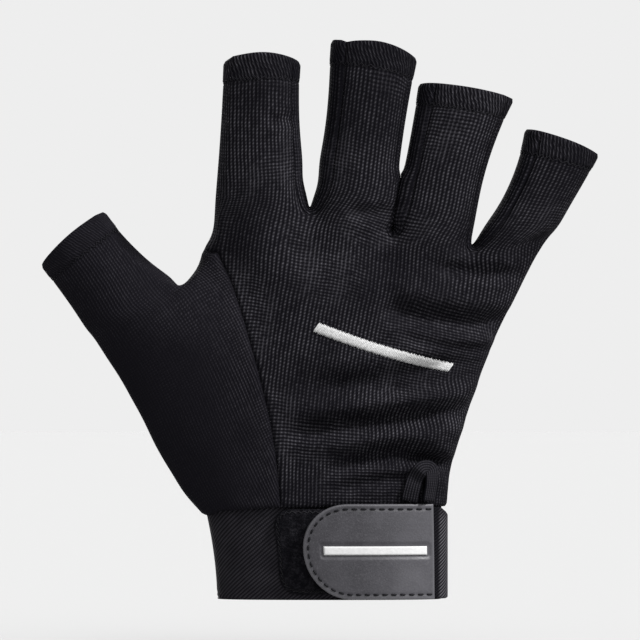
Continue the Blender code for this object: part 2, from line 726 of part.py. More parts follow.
def make_pull_loop(surface):
    """A tape bent into a loop that lies on the back of the hand, with both feet at the top of the cuff."""
    tree = BVHTree.FromBMesh(surface)
    half_tape = LOOP_TAPE_WIDTH / 2
    foot = CUFF_HEIGHT + LOOP_FOOT_GAP
    centres = []
    for k in range(LOOP_STEPS + 1):
        across, up = loop_path(k / LOOP_STEPS)
        x = LOOP_X + across * LOOP_WIDTH
        z = foot + up * (LOOP_HEIGHT - half_tape)
        hit = tree.ray_cast(Vector((x, -1, max(z, foot + SEAM_GAP * 3))), Vector((0, 1, 0)))[0]
        centres.append(Vector((x, hit.y - LOOP_LIFT - LOOP_TAPE_THICKNESS, z)))
    bm = bmesh.new()
    ring = None
    for k, centre in enumerate(centres):
        ahead = centres[min(k + 1, LOOP_STEPS)] - centres[max(k - 1, 0)]
        ahead.y = 0
        ahead.normalize()
        turn = math.radians(8 + 52 * k / LOOP_STEPS)
        flat = Vector((ahead.z, 0, -ahead.x))
        wide = flat * math.cos(turn) + Vector((0, -1, 0)) * math.sin(turn)
        thick = ahead.cross(wide) * LOOP_TAPE_THICKNESS / 2
        wide = wide * half_tape
        lift = Vector((0, -1, 0)) * half_tape * math.sin(turn)
        corners = [centre + lift + wide * a + thick * b for a, b in ((-1, -1), (1, -1), (1, 1), (-1, 1))]
        if ring is None:
            ring = [bm.verts.new(corner) for corner in corners]
            bm.faces.new(ring)
            continue
        ring = raise_ring(bm, ring, corners, ())
    bm.faces.new(ring)
    return make_object("pull_loop", bm, "tape")


def main():
    clear_scene()
    surface = hand_surface()
    for name in PANELS:
        make_panel(surface, name, "fourchette_cloth" if name in FOURCHETTES else "knit")
    make_cuff()
    make_closure()
    make_pull_loop(surface)
    surface.free()


main()
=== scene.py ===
"""Looks of the fingerless rugby glove: cloth, seams, hems, threads, wrist closure, light and camera.

X runs from the thumb to the little finger, the back of the hand faces -Y and Z runs up to the
fingertips. All sizes are metres. The hand's tables are those of the part's source, apart from the folds.
"""

import math

import bmesh
import bpy
import numpy as np
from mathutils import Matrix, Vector
from mathutils.bvhtree import BVHTree
from mathutils.kdtree import KDTree


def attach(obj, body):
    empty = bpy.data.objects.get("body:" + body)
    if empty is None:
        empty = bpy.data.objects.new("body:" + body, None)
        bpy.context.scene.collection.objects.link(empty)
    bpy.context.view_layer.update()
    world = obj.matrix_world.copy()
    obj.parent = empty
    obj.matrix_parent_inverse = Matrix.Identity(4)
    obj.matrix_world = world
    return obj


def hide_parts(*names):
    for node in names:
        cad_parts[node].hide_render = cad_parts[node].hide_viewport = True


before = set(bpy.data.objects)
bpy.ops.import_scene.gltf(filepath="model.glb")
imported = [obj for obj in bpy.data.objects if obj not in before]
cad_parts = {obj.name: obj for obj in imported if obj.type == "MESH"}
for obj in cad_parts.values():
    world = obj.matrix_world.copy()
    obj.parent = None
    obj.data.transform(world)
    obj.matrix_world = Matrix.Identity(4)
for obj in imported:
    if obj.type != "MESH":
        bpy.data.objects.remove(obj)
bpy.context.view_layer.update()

# Elastic cuff
CUFF_HEIGHT = 0.0308
CUFF_WIDTH = 0.0718
CUFF_TOP_WIDTH = 0.0760
CUFF_TOP_SHIFT = -0.0021
CUFF_FLARE = 1.8
CUFF_DEPTH = 0.0300
CUFF_WALL = 0.0018
CUFF_ROUNDNESS = 2.4
CUFF_EDGE = 0.0005
CUFF_COLUMNS = 240
CUFF_ROWS = 36
# The cuff's lower edge turns in by this much below this height
CUFF_TURN = 0.0009
CUFF_TURN_TOP = 0.0016
# The sewn groove above its lower edge
CUFF_GROOVE = 0.00016
CUFF_GROOVE_AT = 0.0021
CUFF_GROOVE_REACH = 0.0004

# Hand
PALM_WIDTH = 0.1060
PALM_LENGTH = 0.0855
BACK_DEPTH = 0.0150
PALM_DEPTH = 0.0165
HAND_ROUNDNESS = 2.5
THENAR_BULGE = 0.0040
THENAR_MIDDLE = -0.45
THENAR_SPREAD = 0.35
SIDE_DEPTH = 0.0068
CROTCH_REACH = 0.0085
HAND_STEPS = 12

# Fingers and thumb
FINGER_LENGTH = 0.0560
FINGER_DEPTH = 0.0190
THUMB_DEPTH = 0.0210
FINGER_ROUNDNESS = 2.3
SECTION_SPREAD = 1.02
CROTCH_RISE = 0.0022
ROOT_SWELL = 0.16
ROOT_REACH = 0.0170
INDEX_SIDE_INSET = 0.0015
CROWN_START = 0.8

# Cloth
PANEL_WALL = 0.0013
HEM_WALL = 0.0022
HEM_WIDTH = 0.0064
HEM_CLEARANCE = 0.08
SEAM_GAP = 0.0003
CUT_GAP = 0.00002
FOLD_DEPTH = 0.0040
SMOOTH_LEVELS = 3
FIT_ROUNDS = 3

# Knit: how the wales lean and fan out on the way up, a metre of rise for a metre across
LEAN = 0.20
FAN = 2.2
LEAN_RISE = 0.050

# Wrist closure
LAYER_GAP = 0.0003
PATCH_WIDTH = 0.0409
PATCH_HEIGHT = CUFF_HEIGHT - 0.0036
PATCH_THICKNESS = 0.0012
PATCH_LEFT = -0.0159
PATCH_CORNER = PATCH_HEIGHT * 0.22
PATCH_BORDER = 0.00030
PATCH_BORDER_WIDTH = 0.0014
PATCH_RIM = 0.0004
TAB_LENGTH = 0.0400
TAB_HEIGHT = CUFF_HEIGHT - 0.0004
TAB_THICKNESS = 0.0015
TAB_LEFT = -0.0075
TAB_CORNER = TAB_HEIGHT * 0.495
TAB_RIM = 0.0005
TAB_GROOVE = 0.00010
TAB_GROOVE_REACH = 0.0005
# The tab's middle stands this much higher, from this far inside its edge and over this length
TAB_FULL = 0.00010
TAB_FULL_FROM = 0.002
TAB_FULL_OVER = 0.004
HOOK_THICKNESS = 0.0011
STRAP_HEIGHT = CUFF_HEIGHT - 0.0024
STRAP_THICKNESS = 0.0012
STRAP_LAP = 0.0080
STRAP_REACH = 0.0560
STRAP_SETTLE = 0.0160
STRAP_LOW = 0.0003
STRAP_RIM = 0.0006
# The strap's top draws down past the tab: from where, over what length and by how much
STRAP_DRAWN_FROM = 0.0355
STRAP_DRAWN_OVER = 0.0060
STRAP_DRAWN_BY = 0.0022
TAB_RISE = 0.0001

# The tab and the patch as left, right, height and corner
TAB_OUTLINE = (TAB_LEFT, TAB_LEFT + TAB_LENGTH, TAB_HEIGHT, TAB_CORNER)
PATCH_OUTLINE = (PATCH_LEFT, PATCH_LEFT + PATCH_WIDTH, PATCH_HEIGHT, PATCH_CORNER)

# Pull loop, whose top leans to the little finger's side
LOOP_HEIGHT = 0.0134
LOOP_WIDTH = 0.0112
LOOP_TAPE_WIDTH = 0.0052
LOOP_TAPE_THICKNESS = 0.0009
LOOP_X = 0.0293
LOOP_FOOT_GAP = 0.0006
LOOP_LIFT = 0.0012
LOOP_STEPS = 64
LOOP_ROUNDNESS = 2.8
LOOP_NARROWS = 0.40
LOOP_LEAN = 0.0017
LOOP_BOW = 0.0017
# Degrees that the tape is turned at its first foot, and how many more it turns on the way to the other
LOOP_TURN = (6, 42)

# Threads
TAB_STITCH_INSET = 0.0016
TAB_STITCH_PITCH = 0.0026
TAB_STITCH_LENGTH = 0.0018
TAB_STITCH_RADIUS = 0.00032
TAB_STITCH_SUNK = 0.00012
TAB_STITCH_STEPS = 6
PATCH_STITCH_INSETS = (0.0006, 0.0013)
PATCH_STITCH_PITCH = 0.0009
PATCH_STITCH_RADIUS = 0.00014
PATCH_STITCH_END = TAB_LEFT + 0.0118
PATCH_STITCH_SUNK = 0.00016
PATCH_STITCH_DIP = 0.0001
HEM_STITCH_PITCH = 0.0011
HEM_STITCH_SWING = 0.0005
HEM_STITCH_RADIUS = 0.00016
HEM_STITCH_RISE = 0.00012
BAR_THREAD = 0.00050

# The plain bar on the tab, and the plain embroidered one on the back
TAB_BAR = {"left": -0.0012, "right": 0.0302, "z": 0.0158, "half": 0.0014}
TAB_BAR_SUNK = 0.00034
TAB_BAR_FLOOR = 0.00030
TAB_BAR_HEIGHT = 0.00062
TAB_BAR_GAP = 0.0006
TAB_BAR_SLOPE = 0.0008
TAB_BAR_ROOT = 0.0001
BACK_BAR = {"start": (-0.0040, 0.0868), "end": (0.0385, 0.0740), "sag": 0.0010, "half": 0.0017}
BACK_BAR_CROWN = 0.00046
BACK_BAR_SLANT = 0.00055
BACK_BAR_SUNK = 0.00004
BACK_BAR_STEPS = 6

THUMB_SIDE = (
    # climb, across, up
    (0.00, -0.392, -0.040),
    (0.05, -0.427, 0.012),
    (0.12, -0.451, 0.058),
    (0.30, -0.514, 0.185),
    (0.50, -0.567, 0.320),
    (0.70, -0.632, 0.466),
    (0.85, -0.678, 0.552),
    (0.92, -0.709, 0.610),
)
SEAM_LINE = (
    # climb, across, up
    (0.00, -0.147, -0.017),
    (0.12, -0.155, 0.118),
    (0.30, -0.174, 0.286),
    (0.50, -0.211, 0.477),
    (0.70, -0.260, 0.694),
    (0.85, -0.303, 0.848),
    (0.92, -0.332, 0.934),
    (1.00, -0.334, 1.050),
)
LITTLE_SIDE = (
    # climb, across, up
    (0.00, 0.355, -0.017),
    (0.12, 0.363, 0.114),
    (0.30, 0.399, 0.260),
    (0.50, 0.449, 0.447),
    (0.70, 0.510, 0.638),
    (0.85, 0.579, 0.803),
    (0.92, 0.615, 0.891),
    (1.00, 0.657, 0.973),
)
DEPTHS = (
    # climb, back, palm
    (0.00, 1.12, 1.02),
    (0.12, 1.02, 1.02),
    (0.35, 1.04, 1.08),
    (0.60, 1.02, 1.00),
    (0.85, 0.90, 0.84),
    (1.00, 0.76, 0.70),
)
KNUCKLES = (
    # station, across, up, drop
    ("thumb_side", -0.334, 1.050, 0.04),
    ("index", -0.206, 1.080, 0.02),
    ("index_middle", -0.060, 1.076, 0.00),
    ("middle", 0.063, 1.069, 0.00),
    ("middle_ring", 0.189, 0.994, 0.04),
    ("ring", 0.307, 0.979, 0.09),
    ("ring_little", 0.429, 0.938, 0.13),
    ("little", 0.543, 0.953, 0.18),
    ("outer_side", 0.657, 0.973, 0.20),
)
THUMB_CROTCH = {"across": -0.438, "up": 0.785, "rise": 0.010}
WEB_TOP = {"across": -0.368, "up": 0.950}
FINGER_COLUMNS = (
    "left_across", "left_up", "right_across", "right_up", "left_bow", "right_bow", "crown", "turn", "drop",
)
FINGERS = (
    (-0.316, 0.990, -0.091, 0.986, -0.012, -0.052, 0.056, 3, 0.02),
    (0.006, 1.086, 0.261, 1.006, -0.068, -0.032, 0.062, 12, 0.00),
    (0.276, 0.862, 0.553, 0.774, -0.018, -0.088, 0.028, 12, 0.10),
    (0.597, 0.602, 0.812, 0.458, -0.122, 0.018, 0.028, 16, 0.22),
)
THUMB = {
    "left_across": -0.868,
    "left_up": 0.887,
    "right_across": -0.683,
    "right_up": 1.085,
    "left_bow": -0.010,
    "right_bow": -0.050,
    "crown": 0.050,
    "turn": 0,
    "drop": 0.05,
}
# The four deep folds of the worn back come first, and finer creases after them.
FOLDS = (
    # start_across, start_up, middle_across, middle_up, end_across, end_up, depth, width
    (0.150, 0.735, 0.330, 0.684, 0.560, 0.658, 0.90, 0.044),
    (-0.100, 0.430, 0.200, 0.460, 0.480, 0.560, 0.70, 0.045),
    (-0.140, 0.256, 0.100, 0.300, 0.420, 0.340, 0.95, 0.034),
    (-0.020, 0.100, 0.190, 0.182, 0.370, 0.118, 0.85, 0.033),
    (0.300, 0.880, 0.430, 0.860, 0.560, 0.850, 0.40, 0.026),
    (0.200, 0.625, 0.340, 0.585, 0.500, 0.575, 0.34, 0.020),
    (0.180, 0.122, 0.274, 0.158, 0.358, 0.140, 0.42, 0.018),
    (0.120, 0.410, 0.270, 0.430, 0.450, 0.480, 0.34, 0.022),
    (0.000, 0.040, 0.130, 0.080, 0.300, 0.100, 0.40, 0.022),
    (0.050, 1.085, 0.120, 1.080, 0.190, 1.085, 0.30, 0.024),
    (-0.190, 1.430, -0.150, 1.428, -0.100, 1.432, 0.22, 0.018),
)
FOLD_TAPER = 0.22
FOLD_END = 0.3
FOLD_SHOULDER = 0.40
FOLD_SHOULDER_AT = 1.9
FOLD_SAMPLES = 60
# Dimples where the side strips end between the fingers, and a swelling between two folds.
DIMPLES = (
    # across, up, depth, radius
    (-0.048, 1.075, 0.0010, 0.0034),
    (0.186, 1.010, 0.0013, 0.0036),
    (0.434, 0.935, 0.0010, 0.0034),
    (0.350, 0.325, -0.0011, 0.0075),
)

# Where the cloth stands out or sinks along a line: by how much, how far beside the line and over what reach
RELIEFS = (
    # line, height, beside, reach
    ("seam", 0.00014, 0.0021, 0.00090),
    ("strip", -0.00012, 0.0, 0.00070),
    ("rim", -0.00055, 0.0, 0.00065),
    ("hem", -0.00026, 0.0, 0.00060),
)
# A seam is deepest where the cloth faces the front or the back
SEAM_DEPTH = 0.00036
SEAM_REACH = 0.0008
HEM_RISE = 0.00022
HEM_EASE = 0.001
# Edge distances count a side strip's edge as this much farther away, and stop at the limit
STRIP_EDGE = 0.0006
EDGE_LIMIT = 0.01

# Where the middle and ring finger press together above their crotch: (x, z) at its foot and at its top
TOUCH_FOOT = (0.0203, 0.1190)
TOUCH_TOP = (0.0228, 0.1337)
TOUCH_BELOW = 0.0006
TOUCH_RISE = 0.0030
TOUCH_MOVE = 0.0016
TOUCH_LEAST = 0.00001
TOUCH_REACH = 0.0042
TOUCH_FADE = 0.0026
# The middle finger's side strip stands up beside its hem: x, and how far the rim rises there
EAR_X = (0.0005, 0.0012, 0.0027, 0.0040, 0.0047, 0.0076, 0.0116, 0.0155)
EAR_RISE = (0.0013, 0.0010, 0.0001, -0.0003, -0.0010, -0.0006, -0.0003, 0.0)
EAR_FOOT = 0.1722
EAR_HEIGHT = 0.0045
EAR_LEAN = 0.0005
EAR_BEGINS = -0.004
# The web is fuller beside its seam and in the thumb's crotch: x, z, reach, and its move along x and z
WEB_FILLS = (
    (-0.0388, 0.1110, 0.0045, -0.0009, 0.0),
    (-0.0460, 0.0990, 0.0070, 0.0, 0.0013),
)
# Gaps between fingers that are wider low down: x, z, reach, and how far each side moves away
WIDENED = ((-0.0065, 0.1330, 0.0058, 0.0011),)
WIDENED_SPLIT = 0.0010
# The thumb piece's lower corner draws in to the cuff
TUCK_X = -0.0350
TUCK_REACH = 0.0050
TUCK_TOP = 0.0275
TUCK_FADE = 0.0035
TUCK_MOVE = (0.0016, -0.0012)
# Stitches show beside the thumb's seam and on the thumb, and fade out between, where the thumb piece's colour
# is also darkened as painted shade
SHOWN_SEAM = 0.0135
SHOWN_LOW = 0.0700
SHOWN_HIGH = 0.0980
SHOWN_LEAST = 0.15
SHOWN_BESIDE = 0.9
SHOWN_ABOVE = 0.7

# Stations across the back, counted from the thumb side
THUMB_STATIONS = 3
BACK_STATIONS = 8
LAST_STATION = THUMB_STATIONS + BACK_STATIONS
CROTCH_STATION = 2
EDGE_INSET = 0.045
TUBE_STEPS = (0.14, 0.38, 0.64)
FINGER_SEAM_ANGLE = 39
THUMB_ANGLES = (141, 90, 39, 0, -39, -90, -141, 180)

BACK, PALM, THUMB_PIECE, FOURCHETTES = 0, 1, 2, 3
HEM_TAG = 10
# A face wider than this in the flat cloth has corners on both sides of a ring's join
JOIN_WIDTH = 0.03


def clamp(value):
    return np.clip(value, 0.0, 1.0)


def smooth_step(value):
    """From 0 to 1 and level at both ends."""
    share = clamp(value)
    return share * share * (3 - 2 * share)


def bell(distance, reach=1.0):
    """1 in the middle, falling smoothly to almost 0 at twice this reach."""
    return np.exp(-((distance / reach) ** 2))


def read_table(table, climb, column):
    return float(np.interp(climb, [row[0] for row in table], [row[column] for row in table]))


def place(across, up, y=0.0):
    """A point of the hand from its shares of the palm's width and length."""
    return Vector((across * PALM_WIDTH, y, CUFF_HEIGHT + SEAM_GAP + up * PALM_LENGTH))


def superellipse(angle, half_width, half_depth, roundness):
    """A point of a rounded section: 0 degrees is its right end and 90 degrees the back of the hand."""
    c, s = math.cos(math.radians(angle)), math.sin(math.radians(angle))
    across = math.copysign(abs(c) ** (2 / roundness), c) * half_width
    out = math.copysign(abs(s) ** (2 / roundness), s) * half_depth
    return across, -out


def long_line(table, climb):
    """A point on one of the hand's long lines."""
    return place(read_table(table, climb, 1), read_table(table, climb, 2))


def station_points(climb):
    """(points across the back, thumb side, little side) at this climb. y is only the knuckles' drop."""
    thumb = long_line(THUMB_SIDE, min(climb, THUMB_SIDE[-1][0]))
    seam = long_line(SEAM_LINE, climb)
    little = long_line(LITTLE_SIDE, climb)
    inner = thumb.lerp(seam, EDGE_INSET * 2)
    crotch = place(THUMB_CROTCH["across"], THUMB_CROTCH["up"])
    pull = root_share(CROTCH_STATION, climb, CROTCH_REACH)
    points = [inner]
    for k in range(1, THUMB_STATIONS):
        on_root = inner.lerp(crotch, k / CROTCH_STATION)
        points.append(inner.lerp(seam, k / THUMB_STATIONS).lerp(on_root, pull))
    outer = little.lerp(seam, EDGE_INSET)
    knuckles = [place(across, up) for _, across, up, _ in KNUCKLES]
    knuckles[-1] = knuckles[-1].lerp(knuckles[0], EDGE_INSET)
    span = knuckles[-1] - knuckles[0]
    for k, knuckle in enumerate(knuckles):
        share = (knuckle - knuckles[0]).dot(span) / span.length_squared
        dip = knuckle - knuckles[0].lerp(knuckles[-1], share)
        even = k / BACK_STATIONS
        along = even + (share - even) * climb
        point = seam.lerp(outer, along) + dip * climb**3
        point.y = knuckle_drop(k, climb)
        points.append(point)
    little.y = knuckle_drop(BACK_STATIONS, climb)
    return points, thumb, little


def knuckle_drop(k, climb):
    return KNUCKLES[k][3] * FINGER_DEPTH * climb**2


def root_depth(k):
    """(half depth, reach): the hand's depth where its tubes begin, and how far below it starts to change."""
    step = k - THUMB_STATIONS
    if k == CROTCH_STATION or step in (2, 4, 6):
        return SIDE_DEPTH, CROTCH_REACH
    if k < CROTCH_STATION:
        angle, depth = THUMB_ANGLES[k], THUMB_DEPTH
    else:
        angle, depth = (90 if step % 2 else FINGER_SEAM_ANGLE), FINGER_DEPTH
    out = superellipse(angle, 1, depth / 2, FINGER_ROUNDNESS)[1]
    return -out * (1 + ROOT_SWELL), ROOT_REACH


def root_share(k, climb, reach):
    """1 where a station's tube begins, falling to 0 below it."""
    top = THUMB_SIDE[-1][0] if k <= THUMB_STATIONS else 1.0
    distance = max(0.0, top - climb) * PALM_LENGTH
    return float(bell(distance, reach))


def body_ring(climb):
    """The hand's section at this climb: (points of the back, little side, points of the palm, thumb side)."""
    stations, thumb, little = station_points(climb)
    back_depth = read_table(DEPTHS, climb, 1) * BACK_DEPTH
    palm_depth = read_table(DEPTHS, climb, 2) * PALM_DEPTH
    bulge = THENAR_BULGE * math.sin(math.pi * min(1.0, climb))
    back, palm = [], []
    for k, point in enumerate(stations):
        share = 2 * (point.x - thumb.x) / (little.x - thumb.x) - 1
        fullness = (1 - min(1.0, abs(share)) ** HAND_ROUNDNESS) ** (1 / HAND_ROUNDNESS)
        root, reach = root_depth(k)
        near = root_share(k, climb, reach)
        out = (1 - near) * back_depth * fullness + near * root
        swell = bulge * bell(share - THENAR_MIDDLE, THENAR_SPREAD)
        deep = (1 - near) * (palm_depth * fullness + swell) + near * root
        back.append(Vector((point.x, point.y - out, point.z)))
        palm.append(Vector((point.x, point.y + deep, point.z)))
    return back, little, palm, thumb


def as_ring(back, right, palm, left):
    return [*back, right, *reversed(palm), left]


def bezier(start, middle, end, share):
    """A curve through all three points."""
    control = middle * 2 - (start + end) / 2
    return start.lerp(control, share).lerp(control.lerp(end, share), share)


def finger_angles(turn):
    """Where a finger's four seams, front, back and sides lie round it, from its left front seam on."""
    seam = FINGER_SEAM_ANGLE
    return [angle - turn for angle in (180 - seam, 90, seam, 0, -seam, -90, seam - 180, -180)]


def tube_section(root, rim, shape, depth, angles, share):
    """The points of a finger's section at this share of its length."""
    (root_left, root_right), (rim_left, rim_right) = root, rim
    width = (root_right - root_left).length
    axis = ((rim_left + rim_right) - (root_left + root_right)).normalized()
    side = Vector((axis.z, 0, -axis.x))
    middle_left = (root_left + rim_left) / 2 - side * width * shape["left_bow"]
    middle_right = (root_right + rim_right) / 2 + side * width * shape["right_bow"]
    left = bezier(root_left, middle_left, rim_left, share)
    right = bezier(root_right, middle_right, rim_right, share)
    centre, half = (left + right) / 2, (right - left) / 2
    half_depth = depth / 2 * (1 + ROOT_SWELL * (1 - share) ** 3)
    crown = shape["crown"] * (rim_left - root_left).length
    lift = axis * crown * clamp((share - CROWN_START) / (1 - CROWN_START))
    points = []
    for angle in angles:
        across, out = superellipse(angle, SECTION_SPREAD, half_depth, FINGER_ROUNDNESS)
        rise = lift * (1 - abs(across) ** 3)
        points.append(centre + half * across + Vector((0, out, 0)) + rise)
    return points


def knit_place(across, point):
    """Where a point of the hand lies in the flat knit, metres across and along its wales."""
    rise = max(0.0, point.z - CUFF_HEIGHT)
    turn = min(1.0, rise / LEAN_RISE)
    climb = rise * rise / (2 * LEAN_RISE) if rise < LEAN_RISE else rise - LEAN_RISE / 2
    u = (across - LEAN * climb) / (1 + FAN * climb)
    v = point.z + turn * (LEAN * point.x + FAN * point.x * point.x / 2)
    return Vector((u, v))


def thumb_height(point):
    """How far up the thumb's outer side a point lies."""
    low = long_line(THUMB_SIDE, 0.0)
    high = place(THUMB["left_across"], THUMB["left_up"])
    return (point - low).dot((high - low).normalized())


def ring_lengths(points):
    """Lengths round a closed ring from its first point to each point, and last the whole way round."""
    steps = [(b - a).length for a, b in zip(points, [*points[1:], points[0]])]
    return [0.0, *np.cumsum(steps)]


def shorter_way(lengths, home, k):
    """The shorter way round a ring from home to its point k, above zero in the ring's own direction."""
    whole = lengths[-1]
    way = (lengths[k] - home) % whole
    return way - whole if way > whole / 2 else way


def middle_length(points, lengths, side):
    """The length round a ring where it crosses x = 0 on this side of it: -1 the back and 1 the palm."""
    for k, point in enumerate(points):
        after = points[(k + 1) % len(points)]
        if point.x * after.x <= 0 and point.x != after.x and (point.x - after.x) * side > 0:
            return lengths[k] + (lengths[k + 1] - lengths[k]) * point.x / (point.x - after.x)
    return 0.0


def body_cloth(points):
    """Where a ring's points lie in each piece's flat cloth."""
    lengths = ring_lengths(points)
    back = middle_length(points, lengths, -1)
    palm = middle_length(points, lengths, 1)
    rows = {BACK: [], PALM: [], THUMB_PIECE: []}
    for k, point in enumerate(points):
        rows[BACK].append(knit_place(shorter_way(lengths, back, k), point))
        rows[PALM].append(knit_place(-shorter_way(lengths, palm, k), point))
        way = shorter_way(lengths, lengths[-2], k)
        rows[THUMB_PIECE].append(Vector((way, thumb_height(point))))
    return rows


def tube_cloth(points, tags, rise, start):
    """Where a finger's ring lies in each piece's flat cloth. start holds the root's front and palm points."""
    lengths = ring_lengths(points)
    rows = {tag: [] for tag in tags}
    for k, point in enumerate(points):
        for tag in rows:
            if tag == THUMB_PIECE:
                rows[tag].append(Vector((shorter_way(lengths, lengths[7], k), thumb_height(point))))
            elif tag == BACK:
                rows[tag].append(start[BACK] + Vector((shorter_way(lengths, lengths[1], k), rise)))
            elif tag == PALM:
                rows[tag].append(start[PALM] + Vector((-shorter_way(lengths, lengths[5], k), rise)))
            else:
                home = lengths[3] if tags[2] == tag else lengths[7]
                rows[tag].append(Vector((shorter_way(lengths, home, k), rise)))
    return rows


class Cage:
    """The coarse mesh of the hand, with each point's place in the flat cloth of its pieces."""

    def __init__(self):
        self.bm = bmesh.new()
        self.weave = self.bm.loops.layers.uv.new("weave")
        self.cloth = {}

    def lay(self, ring, rows):
        for tag, places in rows.items():
            for vertex, flat in zip(ring, places):
                self.cloth[vertex, tag] = flat

    def flatten(self, face, flats):
        """Writes the face's places in the cloth, drawn together where they lie on both sides of a join."""
        across = [flats[loop.vert].x for loop in face.loops]
        split = max(across) - min(across) > JOIN_WIDTH
        for loop in face.loops:
            flat = flats[loop.vert]
            shift = 2 * max(abs(u) for u in across) if split and flat.x > 0 and sum(across) < 0 else 0.0
            loop[self.weave].uv = (flat.x - shift, flat.y)

    def raise_ring(self, ring, points, tags, rows, hem=False):
        """Extrudes a closed ring of vertices to new points, and tags each new face with its piece."""
        count = len(ring)
        raised = extrude_ring(self.bm, ring, points)
        self.lay(raised, rows)
        for i, tag in enumerate(tags):
            corners = (ring[i], ring[(i + 1) % count], raised[(i + 1) % count], raised[i])
            face = self.bm.faces.get(corners)
            face.material_index = tag + (HEM_TAG if hem else 0)
            self.flatten(face, {vertex: self.cloth[vertex, tag] for vertex in corners})
        return raised

    def bridge(self, back_vertex, palm_vertex, middle):
        """Joins back and palm at a crotch through a vertex between them, and returns that vertex."""
        vertex = self.bm.verts.new(middle)
        self.bm.edges.new((back_vertex, vertex))
        self.bm.edges.new((vertex, palm_vertex))
        return vertex

    def grow_tube(self, ring, root, rim, shape, depth, angles, tags):
        """Extrudes a finger from its root ring to its hem and rim."""
        length = ((rim[0] + rim[1]) - (root[0] + root[1])).length / 2
        hem_share = 1 - HEM_WIDTH / length
        start = {tag: self.cloth.get((ring[k], tag)) for tag, k in ((BACK, 1), (PALM, 5))}
        own = [tag for tag in set(tags) if tag >= FOURCHETTES]
        if own:
            points = [vertex.co for vertex in ring]
            rows = tube_cloth(points, tags, 0.0, start)
            self.lay(ring, {tag: rows[tag] for tag in own})
        hem_middle = (hem_share + 1) / 2
        steps = [step for step in TUBE_STEPS if step < hem_share - HEM_CLEARANCE]
        for share in (*steps, hem_share, hem_middle, 1.0):
            points = tube_section(root, rim, shape, depth, angles, share)
            rows = tube_cloth(points, tags, share * length, start)
            ring = self.raise_ring(ring, points, tags, rows, hem=share > hem_share)


def finger_tubes():
    """For each finger its shape, rim ends and tags, from the index to the little finger."""
    rise = FINGER_LENGTH / PALM_LENGTH
    tubes = []
    for i, values in enumerate(FINGERS):
        shape = dict(zip(FINGER_COLUMNS, values))
        drop = shape["drop"] * FINGER_DEPTH
        rim = (
            place(shape["left_across"], 1 + shape["left_up"] * rise, drop),
            place(shape["right_across"], 1 + shape["right_up"] * rise, drop),
        )
        left_tag = (BACK, PALM) if i == 0 else (FOURCHETTES + i - 1,) * 2
        right_tag = (BACK, PALM) if i == 3 else (FOURCHETTES + i,) * 2
        tags = (BACK, BACK, *right_tag, PALM, PALM, left_tag[1], left_tag[0])
        tubes.append((shape, rim, tags))
    return tubes


def grow_fingers(cage, ring, tube_roots):
    """The four fingers, from the ring at the knuckles: 9 back stations, side, 9 palm stations, side."""
    count = BACK_STATIONS + 1
    back, right = ring[:count], ring[count]
    palm, left = list(reversed(ring[count + 1 : 2 * count + 1])), ring[-1]
    sides = [left]
    for k in (2, 4, 6):
        middle = (back[k].co + palm[k].co) / 2 + Vector((0, 0, CROTCH_RISE))
        sides.append(cage.bridge(back[k], palm[k], middle))
    sides.append(right)
    for i, (shape, rim, tags) in enumerate(finger_tubes()):
        a, b, c = 2 * i, 2 * i + 1, 2 * i + 2
        loop = [back[a], back[b], back[c], sides[i + 1], palm[c], palm[b], palm[a], sides[i]]
        root = (sides[i].co.copy(), sides[i + 1].co.copy())
        cage.grow_tube(loop, root, rim, shape, FINGER_DEPTH, finger_angles(shape["turn"]), tags)
        tube_roots.append((root, rim, shape, FINGER_DEPTH))


def grow_thumb(cage, ring, tube_roots):
    """The thumb's tube and the web beside it, from the hand's last whole ring. Returns the web's top."""
    crotch, seam = CROTCH_STATION, THUMB_STATIONS
    palm = list(reversed(ring[LAST_STATION + 2 : 2 * LAST_STATION + 3]))
    middle = place(THUMB_CROTCH["across"], THUMB_CROTCH["up"] + THUMB_CROTCH["rise"])
    web = cage.bridge(ring[crotch], palm[crotch], middle)
    top = cage.bridge(ring[seam], palm[seam], place(WEB_TOP["across"], WEB_TOP["up"]))
    over = Vector((0, SIDE_DEPTH))
    for low, high, mid, mid_top in (
        (ring[crotch], ring[seam], web, top),
        (palm[crotch], palm[seam], web, top),
    ):
        corners = (low, high, mid_top, mid) if low is ring[crotch] else (mid, mid_top, high, low)
        face = cage.bm.faces.new(corners)
        face.material_index = THUMB_PIECE
        flat_low, flat_high = cage.cloth[low, THUMB_PIECE], cage.cloth[high, THUMB_PIECE]
        cage.flatten(face, {low: flat_low, high: flat_high, mid: flat_low + over, mid_top: flat_high + over})
    loop = [*ring[: crotch + 1], web, *reversed(palm[: crotch + 1]), ring[-1]]
    root = (ring[-1].co.copy(), web.co.copy())
    drop = THUMB["drop"] * THUMB_DEPTH
    rim = (
        place(THUMB["left_across"], THUMB["left_up"], drop),
        place(THUMB["right_across"], THUMB["right_up"], drop),
    )
    tags = (THUMB_PIECE,) * len(loop)
    points = [vertex.co for vertex in loop]
    cage.lay([web], {THUMB_PIECE: [tube_cloth(points, tags, 0.0, {})[THUMB_PIECE][3]]})
    cage.grow_tube(loop, root, rim, THUMB, THUMB_DEPTH, THUMB_ANGLES, tags)
    tube_roots.append((root, rim, THUMB, THUMB_DEPTH))
    return top


